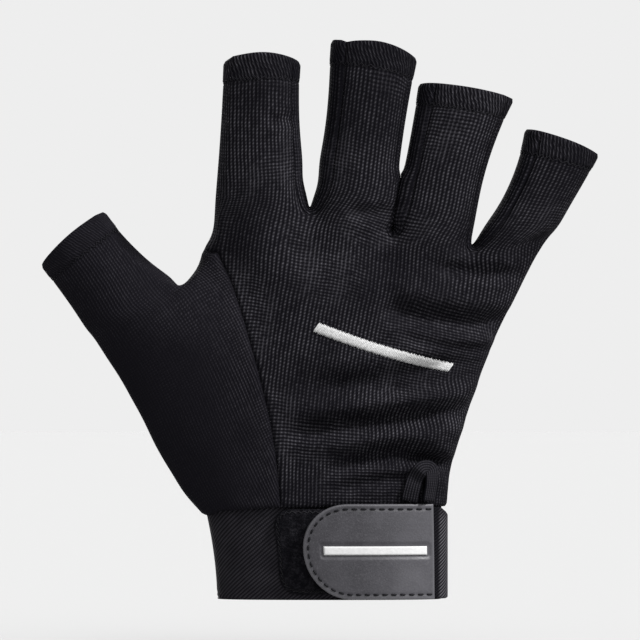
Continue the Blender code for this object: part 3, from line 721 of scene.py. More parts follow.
def hand_cage(tube_roots):
    """The coarse mesh of the whole hand, open at the wrist and the fingertips."""
    cage = Cage()
    points = as_ring(*body_ring(0.0))
    ring = closed_ring(cage.bm, points)
    cage.lay(ring, body_cloth(points))
    tags = [THUMB_PIECE] * THUMB_STATIONS + [BACK] * (BACK_STATIONS + 1)
    tags += [PALM] * (BACK_STATIONS + 1) + [THUMB_PIECE] * (THUMB_STATIONS + 2)
    last_whole = THUMB_SIDE[-1][0]
    for step in range(1, HAND_STEPS):
        climb = last_whole * step / (HAND_STEPS - 1)
        points = as_ring(*body_ring(climb))
        ring = cage.raise_ring(ring, points, tags, body_cloth(points))
    top = grow_thumb(cage, ring, tube_roots)
    palm_end = LAST_STATION + 2 + BACK_STATIONS + 1
    ring = [*ring[THUMB_STATIONS:palm_end], top]
    cage.lay([top], {tag: [rows[-1]] for tag, rows in body_cloth([v.co for v in ring]).items()})
    back, little, palm, _ = body_ring(1.0)
    index_side = long_line(SEAM_LINE, 1.0) + Vector((-INDEX_SIDE_INSET, 0, 0))
    points = as_ring(back[THUMB_STATIONS:], little, palm[THUMB_STATIONS:], index_side)
    tags = [BACK] * (BACK_STATIONS + 1) + [PALM] * (BACK_STATIONS + 2) + [BACK]
    ring = cage.raise_ring(ring, points, tags, body_cloth(points))
    grow_fingers(cage, ring, tube_roots)
    return cage.bm


def smooth_copy(mesh, levels):
    """The Catmull-Clark surface of a mesh, as a new mesh whose first vertices are the old ones."""
    holder = bpy.data.objects.new("cage", mesh)
    bpy.context.scene.collection.objects.link(holder)
    smooth = holder.modifiers.new("smooth", "SUBSURF")
    smooth.levels = smooth.render_levels = levels
    smooth.use_limit_surface = True
    graph = bpy.context.evaluated_depsgraph_get()
    made = bpy.data.meshes.new_from_object(holder.evaluated_get(graph))
    bpy.data.objects.remove(holder)
    return made


def fitted_surface(tube_roots):
    """The hand's smooth surface, with its cage pushed out until the surface meets the wanted points."""
    bm = hand_cage(tube_roots)
    cage = bpy.data.meshes.new("cage")
    bm.to_mesh(cage)
    bm.free()
    wanted = np.array([v.co for v in cage.vertices])
    pushed = wanted.copy()
    for _ in range(FIT_ROUNDS):
        reached = smooth_copy(cage, 1)
        now = np.array([v.co for v in reached.vertices])[: len(wanted)]
        pushed += wanted - now
        cage.vertices.foreach_set("co", pushed.astype(np.float32).ravel())
        cage.update()
    return smooth_copy(cage, SMOOTH_LEVELS)


def fold_heights(points):
    """How far the cloth stands out at each point of the back, which is below zero in a valley."""
    flat = points[:, [0, 2]]
    height = np.zeros(len(points))
    for start_x, start_up, mid_x, mid_up, end_x, end_up, depth, width in FOLDS:
        ends = (place(start_x, start_up), place(mid_x, mid_up), place(end_x, end_up))
        line = np.array([bezier(*ends, k / FOLD_SAMPLES) for k in range(FOLD_SAMPLES + 1)])[:, [0, 2]]
        distances = np.hypot(flat[:, None, 0] - line[None, :, 0], flat[:, None, 1] - line[None, :, 1])
        along = distances.argmin(axis=1) / FOLD_SAMPLES
        fade = np.minimum(1.0, np.minimum(along / FOLD_TAPER, (1 - along) / FOLD_TAPER + FOLD_END))
        reach = distances.min(axis=1) / (width * PALM_LENGTH)
        shoulder = FOLD_SHOULDER * bell(reach - FOLD_SHOULDER_AT)
        height += depth * FOLD_DEPTH * fade * (shoulder - bell(reach))
    for across, up, depth, radius in DIMPLES:
        centre = place(across, up)
        away = np.hypot(flat[:, 0] - centre.x, flat[:, 1] - centre.z)
        height -= depth * bell(away, radius)
    return height


def distances_to(bm, chosen):
    """How far each vertex is from the nearest chosen one."""
    tree = KDTree(len(chosen))
    for k, vertex in enumerate(chosen):
        tree.insert(vertex.co, k)
    tree.balance()
    return np.array([tree.find(vertex.co)[2] for vertex in bm.verts])


def settle(points):
    """The points where the worn cloth really lies: fingers pressed together, an ear and a tucked corner."""
    x, z = points[:, 0].copy(), points[:, 2].copy()
    share = clamp((z - TOUCH_FOOT[1]) / (TOUCH_TOP[1] - TOUCH_FOOT[1]))
    beside = x - (TOUCH_FOOT[0] + (TOUCH_TOP[0] - TOUCH_FOOT[0]) * share)
    fade = bell(np.maximum(0.0, z - TOUCH_TOP[1]), TOUCH_FADE)
    rise = clamp((z - TOUCH_FOOT[1] + TOUCH_BELOW) / TOUCH_RISE)
    move = TOUCH_MOVE * rise * fade * bell(beside, TOUCH_REACH)
    away = np.abs(beside)
    left = np.maximum(away - move, np.minimum(away, TOUCH_LEAST))
    settled = points.copy()
    settled[:, 0] += np.sign(beside) * (left - away)
    height = clamp((z - EAR_FOOT) / EAR_HEIGHT) * (x > EAR_BEGINS)
    settled[:, 2] += np.interp(x, EAR_X, EAR_RISE) * height
    settled[:, 0] += clamp((EAR_X[2] - x) / EAR_X[2]) * height * EAR_LEAN
    for at_x, at_z, reach, move_x, move_z in WEB_FILLS:
        near = bell(np.hypot(x - at_x, z - at_z), reach)
        settled[:, 0] += move_x * near
        settled[:, 2] += move_z * near
    for at_x, at_z, reach, move in WIDENED:
        near = bell(np.hypot(x - at_x, z - at_z), reach)
        settled[:, 0] += move * np.tanh((x - at_x) / WIDENED_SPLIT) * near
    tuck = clamp((TUCK_X - x) / TUCK_REACH) * bell(np.maximum(0.0, z - TUCK_TOP), TUCK_FADE)
    settled[:, 0] += TUCK_MOVE[0] * tuck
    settled[:, 2] += TUCK_MOVE[1] * tuck
    return settled


def sort_lines(bm):
    """The vertices of the seams, the side strips' edges, the hems' lower edges and the rims, by name."""
    lines = {"seam": [], "strip": [], "hem": [], "rim": []}
    for vertex in bm.verts:
        if any(edge.is_boundary for edge in vertex.link_edges):
            lines["rim"].append(vertex)
        elif len(pieces_at(vertex)) > 1:
            lines["seam" if THUMB_PIECE in pieces_at(vertex) else "strip"].append(vertex)
        if len(hems_at(vertex)) > 1:
            lines["hem"].append(vertex)
    return lines


def pieces_at(vertex):
    return {face.material_index % HEM_TAG for face in vertex.link_faces}


def hems_at(vertex):
    return {face.material_index >= HEM_TAG for face in vertex.link_faces}


def stitches_shown_and_painted_shade(points, facing, seam):
    """How much of the thumb piece's stitches shows at each point, and how far its colour is darkened there as
    painted shade.
    """
    up = smooth_step((points[:, 2] - SHOWN_LOW) / (SHOWN_HIGH - SHOWN_LOW))
    seen = np.maximum(SHOWN_BESIDE * bell(seam, SHOWN_SEAM), SHOWN_ABOVE * up)
    return 1 + (np.maximum(SHOWN_LEAST, seen) - 1) * np.minimum(1.0, facing * 3)


def hand_surface(tube_roots):
    """The outside of the hand with its folds, seams and hems, and the tree that finds places on it."""
    bm = bmesh.new()
    bm.from_mesh(fitted_surface(tube_roots))
    bmesh.ops.recalc_face_normals(bm, faces=bm.faces)
    front = max(bm.verts, key=lambda v: -v.co.y)
    if front.normal.y > 0:
        bmesh.ops.reverse_faces(bm, faces=bm.faces)
    for vertex, point in zip(bm.verts, settle(np.array([vertex.co for vertex in bm.verts]))):
        vertex.co = point
    bm.normal_update()
    points = np.array([vertex.co for vertex in bm.verts])
    normals = np.array([vertex.normal for vertex in bm.verts])
    away = {name: distances_to(bm, line) for name, line in sort_lines(bm).items()}
    in_hem = np.array([hems_at(vertex) == {True} for vertex in bm.verts])
    on_hem_edge = np.array([len(hems_at(vertex)) > 1 for vertex in bm.verts])
    on_thumb = np.array([pieces_at(vertex) == {THUMB_PIECE} for vertex in bm.verts])
    facing = np.maximum(0.0, -normals[:, 1])
    hem_share = np.where(in_hem, 1.0, np.where(on_hem_edge, 0.5, 0.0))
    heights = fold_heights(points) * np.minimum(1.0, facing * 1.5)
    heights -= SEAM_DEPTH * np.minimum(1.0, np.abs(normals[:, 1]) * 1.4) * bell(away["seam"], SEAM_REACH)
    for line, rise, beside, reach in RELIEFS:
        heights += rise * bell(away[line] - beside, reach)
    heights += HEM_RISE * hem_share * np.minimum(1.0, away["hem"] / HEM_EASE)
    edge = np.minimum(np.minimum(away["seam"], away["strip"] + STRIP_EDGE), EDGE_LIMIT)
    seen = stitches_shown_and_painted_shade(points, facing, away["seam"])
    walls = np.where(in_hem, HEM_WALL, PANEL_WALL)
    attributes = (
        (bm.verts.layers.float_vector.new("inward"), [Vector(move) for move in normals * -walls[:, None]]),
        (bm.verts.layers.float.new("hem"), hem_share),
        (bm.verts.layers.float.new("edge"), edge),
        # Where the thumb piece's stitches fade and its colour is darkened as painted shade
        (bm.verts.layers.float.new("shown_and_painted_shade"), np.where(on_thumb & (facing > 0), seen, 1.0)),
    )
    for layer, values in attributes:
        for vertex, value in zip(bm.verts, values):
            vertex[layer] = value
    for vertex, point in zip(bm.verts, points + normals * heights[:, None]):
        vertex.co = point
    bm.normal_update()
    return bm, BVHTree.FromBMesh(bm)


def make_object(name, bm, outward=True):
    """Turns a bmesh into a smooth-shaded object with outward faces."""
    if outward:
        bmesh.ops.recalc_face_normals(bm, faces=bm.faces)
        if bm.calc_volume(signed=True) < 0:
            bmesh.ops.reverse_faces(bm, faces=bm.faces)
    mesh = bpy.data.meshes.new(name)
    bm.to_mesh(mesh)
    bm.free()
    mesh.shade_smooth()
    mesh.materials.clear()
    return place_object(name, mesh)


def make_panel(surface, name, piece):
    """Cuts one sewn piece out of the hand's surface, draws its edges in and gives it its thickness."""
    bm = surface.copy()
    inward = bm.verts.layers.float_vector["inward"]
    others = [face for face in bm.faces if face.material_index % HEM_TAG != piece]
    bmesh.ops.delete(bm, geom=others, context="FACES")
    rim_edges = [edge for edge in bm.edges if edge.is_boundary]
    rim_verts = {vertex for edge in rim_edges for vertex in edge.verts}
    middle_of = {}
    for vertex in rim_verts:
        near = [edge.other_vert(vertex).co for edge in vertex.link_edges if not edge.is_boundary]
        if near:
            middle = sum(near, Vector()) / len(near)
            middle_of[vertex] = vertex.co + (middle - vertex.co).normalized() * CUT_GAP
    for vertex, point in middle_of.items():
        vertex.co = point
    made = bmesh.ops.extrude_face_region(bm, geom=bm.faces, use_keep_orig=True)["geom"]
    for vertex in (v for v in made if isinstance(v, bmesh.types.BMVert)):
        vertex.co += vertex[inward]
    for face in bm.faces:
        face.material_index = 0
    return make_object(name, bm)


def cuff_section(z):
    """(centre x, half width, half depth) of the cuff's outside at this height."""
    share = (max(0.0, z) / CUFF_HEIGHT) ** CUFF_FLARE
    width = CUFF_WIDTH + (CUFF_TOP_WIDTH - CUFF_WIDTH) * share
    return CUFF_TOP_SHIFT * share, width / 2, CUFF_DEPTH / 2


def cuff_point(angle, z, out=0.0):
    """A point outside the cuff by out. 0 degrees is the little finger's side and 90 degrees the back."""
    centre, half_width, half_depth = cuff_section(z)
    across, y = superellipse(angle, half_width, half_depth, CUFF_ROUNDNESS)
    normal = Vector(
        (
            math.copysign(abs(across / half_width) ** (CUFF_ROUNDNESS - 1), across) / half_width,
            math.copysign(abs(y / half_depth) ** (CUFF_ROUNDNESS - 1), y) / half_depth,
            0,
        )
    ).normalized()
    return Vector((centre + across, y, z)) + normal * out


def angles_by_length():
    """(lengths round the cuff from the middle of its back towards the little finger, their angles)."""
    angles = np.linspace(90, -150, 481)
    points = [cuff_point(angle, CUFF_HEIGHT / 2) for angle in angles]
    steps = [0.0] + [(b - a).length for a, b in zip(points, points[1:])]
    return np.cumsum(steps), angles


ROUND_CUFF = angles_by_length()


def wrap(length, z, out):
    """A point at this length round the cuff from the middle of its back, which may be below zero."""
    lengths, angles = ROUND_CUFF
    angle = float(np.interp(abs(length), lengths, angles))
    return cuff_point(angle if length >= 0 else 180 - angle, z, out)


def set_weave(bm, flats):
    """Writes each vertex's place in the flat cloth to all of its corners."""
    layer = bm.loops.layers.uv.new("weave")
    for face in bm.faces:
        for loop in face.loops:
            loop[layer].uv = flats[loop.vert]


def make_cuff():
    """The elastic band with its rounded edges, drawn up from its rings."""
    bm = bmesh.new()
    layer = bm.loops.layers.uv.new("weave")
    columns, edge, top = CUFF_COLUMNS, CUFF_EDGE, CUFF_HEIGHT
    heights = [edge + (top - 2 * edge) * k / CUFF_ROWS for k in range(CUFF_ROWS + 1)]
    profile = [(z, 0.0) for z in heights]
    profile += [(top - edge * (1 - math.sin(t)), -edge * (1 - math.cos(t))) for t in (0.6, 1.2, math.pi / 2)]
    profile += [(top, edge - CUFF_WALL)]
    profile += [(z, -CUFF_WALL) for z in reversed(heights[1:-1:4])]
    profile += [(0.0, edge - CUFF_WALL), (0.0, -edge)]
    profile += [(edge * (1 - math.sin(t)), -edge * (1 - math.cos(t))) for t in (1.2, 0.6)]
    angles = np.linspace(0, 360, 1441)[:-1]
    points = [cuff_point(angle, top / 2) for angle in angles]
    lengths = ring_lengths(points)
    even = [float(np.interp(lengths[-1] * k / columns, lengths[:-1], angles)) for k in range(columns)]
    ways = [lengths[-1] * k / columns for k in range(columns + 1)]
    rings = []
    for z, out in profile:
        rings.append([bm.verts.new(cuff_point(angle, z, out + cuff_swell(z, out))) for angle in even])
    for i, first in enumerate(rings):
        second = rings[(i + 1) % len(rings)]
        for k in range(columns):
            j = (k + 1) % columns
            face = bm.faces.new((first[k], first[j], second[j], second[k]))
            sides = {first[k]: (k, i), first[j]: (k + 1, i), second[j]: (k + 1, i + 1), second[k]: (k, i + 1)}
            for loop in face.loops:
                column, row = sides[loop.vert]
                loop[layer].uv = (ways[column], profile[row % len(profile)][0])
    return make_object("elastic_cuff", bm)


def cuff_swell(z, out):
    """The soft hem at the cuff's lower edge, and the groove where it is sewn."""
    if out < 0:
        return 0.0
    turned = max(0.0, 1 - z / CUFF_TURN_TOP)
    return -CUFF_TURN * turned * turned - CUFF_GROOVE * bell(z - CUFF_GROOVE_AT, CUFF_GROOVE_REACH)


def plate_edge(length, z, left, right, height, corner):
    """How far inside the outline of a plate with a rounded left end a point lies."""
    up = abs(z - CUFF_HEIGHT / 2)
    inside = min(height / 2 - up, right - length)
    over = max(0.0, up - (height / 2 - corner))
    before = left + corner - length
    if before > 0 and over > 0:
        return corner - math.hypot(before, over)
    if before > 0:
        return min(inside, corner - before)
    return inside


def rounded_end(u, v, left, length, height, corner):
    """Spreads two shares over a plate whose left end is rounded with this radius."""
    swing = -math.cos(math.pi * v)
    up = swing * height / 2
    over = max(0.0, abs(up) - (height / 2 - corner))
    start = left + corner - math.sqrt(max(0.0, corner * corner - over * over))
    return start + (left + length - start) * u, CUFF_HEIGHT / 2 + up


def layer_heights():
    """How far each layer of the closure stands off the cuff: (inside, outside)."""
    patch = LAYER_GAP, LAYER_GAP + PATCH_THICKNESS
    hook = patch[1] + LAYER_GAP, patch[1] + LAYER_GAP + HOOK_THICKNESS
    over = max(hook[1], hook[0] + STRAP_THICKNESS) + LAYER_GAP + TAB_RISE
    return patch, hook, (over, over + TAB_THICKNESS)


def strap_offset(length):
    """The strap lies over the patch's level under the tab and settles onto the cuff round the side."""
    level = layer_heights()[1][0]
    start = TAB_LEFT + TAB_LENGTH
    return level + (LAYER_GAP - level) * smooth_step((length - start) / STRAP_SETTLE)


def make_plate(name, columns, rows, to_surface, low, high):
    """A plate bent round the cuff. to_surface gives its length round the cuff and height for two shares
    from 0 to 1, and low and high give how far its two faces stand off the cuff there."""
    bm = bmesh.new()
    bmesh.ops.create_grid(bm, x_segments=columns, y_segments=rows, size=0.5)
    made = bmesh.ops.extrude_face_region(bm, geom=bm.faces, use_keep_orig=True)["geom"]
    top = {v for v in made if isinstance(v, bmesh.types.BMVert)}
    flats = {}
    for vertex in bm.verts:
        length, z = to_surface(vertex.co.x + 0.5, vertex.co.y + 0.5)
        flats[vertex] = (length, z)
        vertex.co = wrap(length, z, (high if vertex in top else low)(length, z))
    set_weave(bm, flats)
    return make_object(name, bm)


def soft_edge(distance, radius):
    """How far a rounded edge has dropped at this distance inside a plate's outline."""
    return radius * (1 - math.sqrt(1 - (1 - clamp(distance / radius)) ** 2))


def make_patch():
    """The loop patch with its pile and its sewn border."""
    inside, outside = layer_heights()[0]

    def shape(u, v):
        return rounded_end(u, v, PATCH_LEFT, PATCH_WIDTH, PATCH_HEIGHT, PATCH_CORNER)

    def high(length, z):
        distance = plate_edge(length, z, *PATCH_OUTLINE)
        border = PATCH_BORDER * math.exp(-((distance / PATCH_BORDER_WIDTH) ** 4))
        return outside - soft_edge(distance, PATCH_RIM) - border

    return make_plate("pile_patch", 110, 76, shape, lambda *_: inside, high)


def make_tab():
    """The coated tab: a soft rim, a sunk line for its stitches and a sunk place for its bar."""
    inside, outside = layer_heights()[2]

    def shape(u, v):
        return rounded_end(u, v, TAB_LEFT, TAB_LENGTH, TAB_HEIGHT, TAB_CORNER)

    def high(length, z):
        distance = plate_edge(length, z, *TAB_OUTLINE)
        height = outside - soft_edge(distance, TAB_RIM)
        height -= TAB_GROOVE * bell(distance - TAB_STITCH_INSET, TAB_GROOVE_REACH)
        height += TAB_FULL * clamp((distance - TAB_FULL_FROM) / TAB_FULL_OVER)
        around = clamp((bar_distance(length, z) - TAB_BAR_GAP) / TAB_BAR_SLOPE)
        return height - TAB_BAR_SUNK * (0.5 + 0.5 * math.cos(math.pi * around))

    return make_plate("coated_tab", 150, 108, shape, lambda *_: inside, high)


def bar_distance(length, z):
    """How far outside the tab's bar a point of the tab lies."""
    beside = max(TAB_BAR["left"] - length, 0.0, length - TAB_BAR["right"])
    above = max(0.0, abs(z - TAB_BAR["z"]) - TAB_BAR["half"])
    return math.hypot(beside, above)


def make_tab_bar():
    """The plain moulded bar that stands in its sunk place on the tab."""
    floor = layer_heights()[2][1] - TAB_BAR_FLOOR
    half = TAB_BAR["half"]

    def shape(u, v):
        length = TAB_BAR["left"] + (TAB_BAR["right"] - TAB_BAR["left"]) * u
        return length, TAB_BAR["z"] + half * math.sin(math.pi * (v - 0.5))

    def high(length, z):
        inside = half - abs(z - TAB_BAR["z"])
        ends = min(length - TAB_BAR["left"], TAB_BAR["right"] - length)
        return floor + TAB_BAR_HEIGHT - soft_edge(min(inside, ends), TAB_RIM)

    return make_plate("tab_bar", 90, 16, shape, lambda *_: floor - TAB_BAR_ROOT, high)


def make_strap():
    """The twilled strap from under the tab round the wrist's side."""
    start = TAB_LEFT + TAB_LENGTH - STRAP_LAP

    def top_at(length):
        drawn = smooth_step((length - STRAP_DRAWN_FROM) / STRAP_DRAWN_OVER)
        return (CUFF_HEIGHT + STRAP_HEIGHT) / 2 - STRAP_DRAWN_BY * drawn

    def shape(u, v):
        length = start + STRAP_REACH * u
        return length, STRAP_LOW + v * (top_at(length) - STRAP_LOW)

    def high(length, z):
        distance = min(z - STRAP_LOW, top_at(length) - z, start + STRAP_REACH - length)
        return strap_offset(length) + STRAP_THICKNESS - soft_edge(distance, STRAP_RIM)

    return make_plate("twill_strap", 160, 70, shape, lambda length, _: strap_offset(length), high)


def extrude_ring(bm, ring, points):
    """Extrudes a closed ring of vertices to new points, and returns the new ring."""
    edges = [bm.edges.get((ring[i], ring[(i + 1) % len(ring)])) for i in range(len(ring))]
    made = bmesh.ops.extrude_edge_only(bm, edges=edges)["geom"]
    new = {v for v in made if isinstance(v, bmesh.types.BMVert)}
    raised = [next(e.other_vert(v) for e in v.link_edges if e.other_vert(v) in new) for v in ring]
    for vertex, point in zip(raised, points):
        vertex.co = point
    return raised


def closed_ring(bm, points):
    """Vertices at these points, joined by edges."""
    ring = [bm.verts.new(point) for point in points]
    for i, vertex in enumerate(ring):
        bm.edges.new((vertex, ring[(i + 1) % len(ring)]))
    return ring


def sweep(bm, count, section_at):
    """Draws a closed section along a line of this many frames, caps both ends and returns all rings."""
    rings = [closed_ring(bm, section_at(0))]
    for k in range(1, count):
        rings.append(extrude_ring(bm, rings[-1], section_at(k)))
    bm.faces.new(rings[0])
    bm.faces.new(rings[-1])
    return rings


def wrap_with_normal(length, z, out):
    """A point round the cuff and the way out there."""
    point = wrap(length, z, out)
    return point, (wrap(length, z, out + 0.001) - point).normalized()


def add_thread(bm, spots, radius, sides=6, flat=1.0):
    """A round thread along (point, normal) spots, thinner at its two ends."""
    points = [point for point, _ in spots]

    def section(k):
        ahead = (points[min(k + 1, len(points) - 1)] - points[max(k - 1, 0)]).normalized()
        across = ahead.cross(spots[k][1]).normalized()
        up = across.cross(ahead)
        thin = 0.25 if k in (0, len(points) - 1) else 1.0
        ring = []
        for i in range(sides):
            angle = 2 * math.pi * i / sides
            offset = across * math.cos(angle) + up * math.sin(angle) * flat
            ring.append(points[k] + offset * radius * thin)
        return ring

    sweep(bm, len(points), section)


def loop_path(share):
    """(across, up) of the pull loop's tape at a share of its length, in its own width and height."""
    across, out = superellipse(180 * share, 0.34, 1, LOOP_ROUNDNESS)
    return LOOP_BOW * math.sin(math.pi * share) - across, -out


def make_pull_loop(tree):
    """A tape bent into a loop that lies on the back of the hand, with both feet at the top of the cuff."""
    half_tape = LOOP_TAPE_WIDTH / 2
    foot = CUFF_HEIGHT + LOOP_FOOT_GAP
    centres = []
    for k in range(LOOP_STEPS + 1):
        across, up = loop_path(k / LOOP_STEPS)
        x = LOOP_X + across * LOOP_WIDTH * (1 - LOOP_NARROWS * k / LOOP_STEPS) + up * LOOP_LEAN
        z = foot + up * (LOOP_HEIGHT - half_tape)
        hit = tree.ray_cast(Vector((x, -1, max(z, foot + SEAM_GAP * 3))), Vector((0, 1, 0)))[0]
        centres.append(Vector((x, hit.y - LOOP_LIFT - LOOP_TAPE_THICKNESS, z)))
    inner = [sum(centres[k - 2 : k + 3], Vector()) / 5 for k in range(2, LOOP_STEPS - 1)]
    centres = [*centres[:2], *inner, *centres[-2:]]
    corners = [superellipse(angle, 1, 1, 5.0) for angle in range(0, 360, 15)]

    def section(k):
        ahead = centres[min(k + 1, LOOP_STEPS)] - centres[max(k - 1, 0)]
        ahead.y = 0
        ahead.normalize()
        turn = math.radians(LOOP_TURN[0] + LOOP_TURN[1] * smooth_step(k / LOOP_STEPS))
        flat = Vector((ahead.z, 0, -ahead.x))
        wide = flat * math.cos(turn) + Vector((0, -1, 0)) * math.sin(turn)
        thick = ahead.cross(wide) * LOOP_TAPE_THICKNESS / 2
        lift = Vector((0, -1, 0)) * half_tape * math.sin(turn)
        return [centres[k] + lift + wide * half_tape * a + thick * b for a, b in corners]

    bm = bmesh.new()
    rings = sweep(bm, len(centres), section)
    ways = np.cumsum([0.0, *((b - a).length for a, b in zip(centres, centres[1:]))])
    flats = {}
    for ring, way in zip(rings, ways):
        flats.update({vertex: (across * half_tape, way) for vertex, (across, _) in zip(ring, corners)})
    set_weave(bm, flats)
    return make_object("tape_loop", bm)


def on_surface(tree, point, out):
    """The point of the glove's outside that is nearest, lifted by out, and the way out there."""
    found, normal, _, _ = tree.find_nearest(point)
    return found + normal * out, normal


def make_hem_threads(tree, tube_roots):
    """The zigzag cover stitch round each finger's hem and the thumb's."""
    bm = bmesh.new()
    for root, rim, shape, depth in tube_roots:
        length = ((rim[0] + rim[1]) - (root[0] + root[1])).length / 2
        hem_share = 1 - HEM_WIDTH / length
        ring = tube_section(root, rim, shape, depth, np.linspace(0, 360, 121)[:-1], hem_share)
        count = int(ring_lengths(ring)[-1] / HEM_STITCH_PITCH)
        spots = []
        for n, angle in enumerate(np.linspace(0, 360, count + 1)[:-1]):
            share = hem_share + (HEM_STITCH_SWING if n % 2 else -HEM_STITCH_SWING) / length
            point = tube_section(root, rim, shape, depth, [angle], share)[0]
            spots.append(on_surface(tree, point, HEM_STITCH_RISE))
        add_thread(bm, [*spots, spots[0]], HEM_STITCH_RADIUS, sides=5, flat=0.7)
    return make_object("hem_threads", bm)


def outline_walk(left, right, height, corner, inset, pitch):
    """Points spaced along a plate's inset outline, from its upper right round its left end."""
    half = height / 2 - inset
    radius = corner - inset
    centre = left + corner
    top, bottom = CUFF_HEIGHT / 2 + half, CUFF_HEIGHT / 2 - half
    straight = right - centre
    bend = math.pi / 2 * radius
    rise = max(0.0, 2 * (half - radius))
    total = 2 * straight + 2 * bend + rise
    spots = []
    for k in range(int(total / pitch)):
        way = (k + 0.5) * pitch
        if way < straight:
            spots.append((right - way, top))
        elif way < straight + bend:
            angle = (way - straight) / radius
            spots.append((centre - radius * math.sin(angle), top - radius * (1 - math.cos(angle))))
        elif way < straight + bend + rise:
            spots.append((centre - radius, top - radius - (way - straight - bend)))
        elif way < straight + 2 * bend + rise:
            angle = (way - straight - bend - rise) / radius
            spots.append((centre - radius * math.cos(angle), bottom + radius * (1 - math.sin(angle))))
        else:
            spots.append((centre + way - straight - 2 * bend - rise, bottom))
    return spots


def make_tab_threads():
    """The running stitch inside the tab's edge."""
    bm = bmesh.new()
    out = layer_heights()[2][1] - TAB_STITCH_SUNK
    steps = TAB_STITCH_STEPS
    step = TAB_STITCH_LENGTH / steps
    fine = outline_walk(*TAB_OUTLINE, TAB_STITCH_INSET, step)
    for start in range(2, len(fine) - steps, round(TAB_STITCH_PITCH / step)):
        spots = []
        for k, (length, z) in enumerate(fine[start : start + steps + 1]):
            lift = TAB_STITCH_RADIUS / 2 * math.sin(math.pi * k / steps)
            spots.append(wrap_with_normal(length, z, out + lift))
        add_thread(bm, spots, TAB_STITCH_RADIUS, sides=8, flat=0.8)
    return make_object("tab_threads", bm)


def make_patch_threads():
    """The zigzag that sews the patch's border to the cuff, round its open end as far as the tab."""
    bm = bmesh.new()
    out = layer_heights()[0][1] - PATCH_STITCH_SUNK
    outer, inner = (outline_walk(*PATCH_OUTLINE, inset, PATCH_STITCH_PITCH) for inset in PATCH_STITCH_INSETS)
    spots = []
    for k in range(min(len(inner), len(outer))):
        length, z = (inner if k % 2 else outer)[k]
        if length <= PATCH_STITCH_END:
            dip = -PATCH_STITCH_DIP if k % 2 else PATCH_STITCH_DIP
            spots.append(wrap_with_normal(length, z, out - dip))
    add_thread(bm, spots, PATCH_STITCH_RADIUS, sides=5)
    return make_object("patch_threads", bm)


def make_back_bar(tree):
    """The plain satin-stitched bar on the back of the hand."""
    bm = bmesh.new()
    start, end = Vector(BACK_BAR["start"]), Vector(BACK_BAR["end"])
    length = (end - start).length
    along = (end - start) / length
    square = Vector((-along.y, along.x))
    count = int(length / BAR_THREAD)
    slant = along * BACK_BAR_SLANT
    for k in range(count + 1):
        share = k / count
        middle = start + along * length * share - square * BACK_BAR["sag"] * math.sin(math.pi * share)
        ragged = 0.00010 * math.sin(k * 2.4) + 0.00006 * math.sin(k * 5.1)
        spots = []
        for j in range(BACK_BAR_STEPS + 1):
            side = (2 * j / BACK_BAR_STEPS - 1) * (1 + ragged / BACK_BAR["half"])
            spot = middle + square * BACK_BAR["half"] * side + slant * side
            crown = BACK_BAR_CROWN * math.sqrt(max(0.0, 1 - side * side * 0.92))
            hit, normal, _, _ = tree.ray_cast(Vector((spot.x, -1, spot.y)), Vector((0, 1, 0)))
            spots.append((hit + normal * (crown - BACK_BAR_SUNK), normal))
        add_thread(bm, spots, BAR_THREAD * 0.62)
    return make_object("back_bar", bm)


class Wire:
    """A shader socket that Python's arithmetic works on."""

    def __init__(self, finish, socket):
        self.finish = finish
        self.socket = socket

    def math(self, operation, *others):
        return self.finish.node("ShaderNodeMath", {"operation": operation}, (self, *others))

    def flipped(self, operation, other):
        return self.finish.node("ShaderNodeMath", {"operation": operation}, (other, self))

    def __add__(self, other):
        return self.math("ADD", other)

    __radd__ = __add__

    def __sub__(self, other):
        return self.math("SUBTRACT", other)

    def __rsub__(self, other):
        return self.flipped("SUBTRACT", other)

    def __mul__(self, other):
        return self.math("MULTIPLY", other)

    __rmul__ = __mul__

    def __truediv__(self, other):
        return self.math("DIVIDE", other)

    def __pow__(self, other):
        return self.math("POWER", other)

    def __abs__(self):
        return self.math("ABSOLUTE")

    def fraction(self):
        return self.math("FRACT")

    def floor(self):
        return self.math("FLOOR")

    def wave(self):
        """From 0 to 1 and back once for each whole number."""
        return (self * (2 * math.pi)).math("COSINE") * -0.5 + 0.5

    def ease(self, low, high, start=0.0, end=1.0):
        """Goes smoothly from start to end while this goes from low to high."""
        return self.finish.node(
            "ShaderNodeMapRange",
            {"interpolation_type": "SMOOTHSTEP"},
            {"Value": self, "From Min": low, "From Max": high, "To Min": start, "To Max": end},
        )


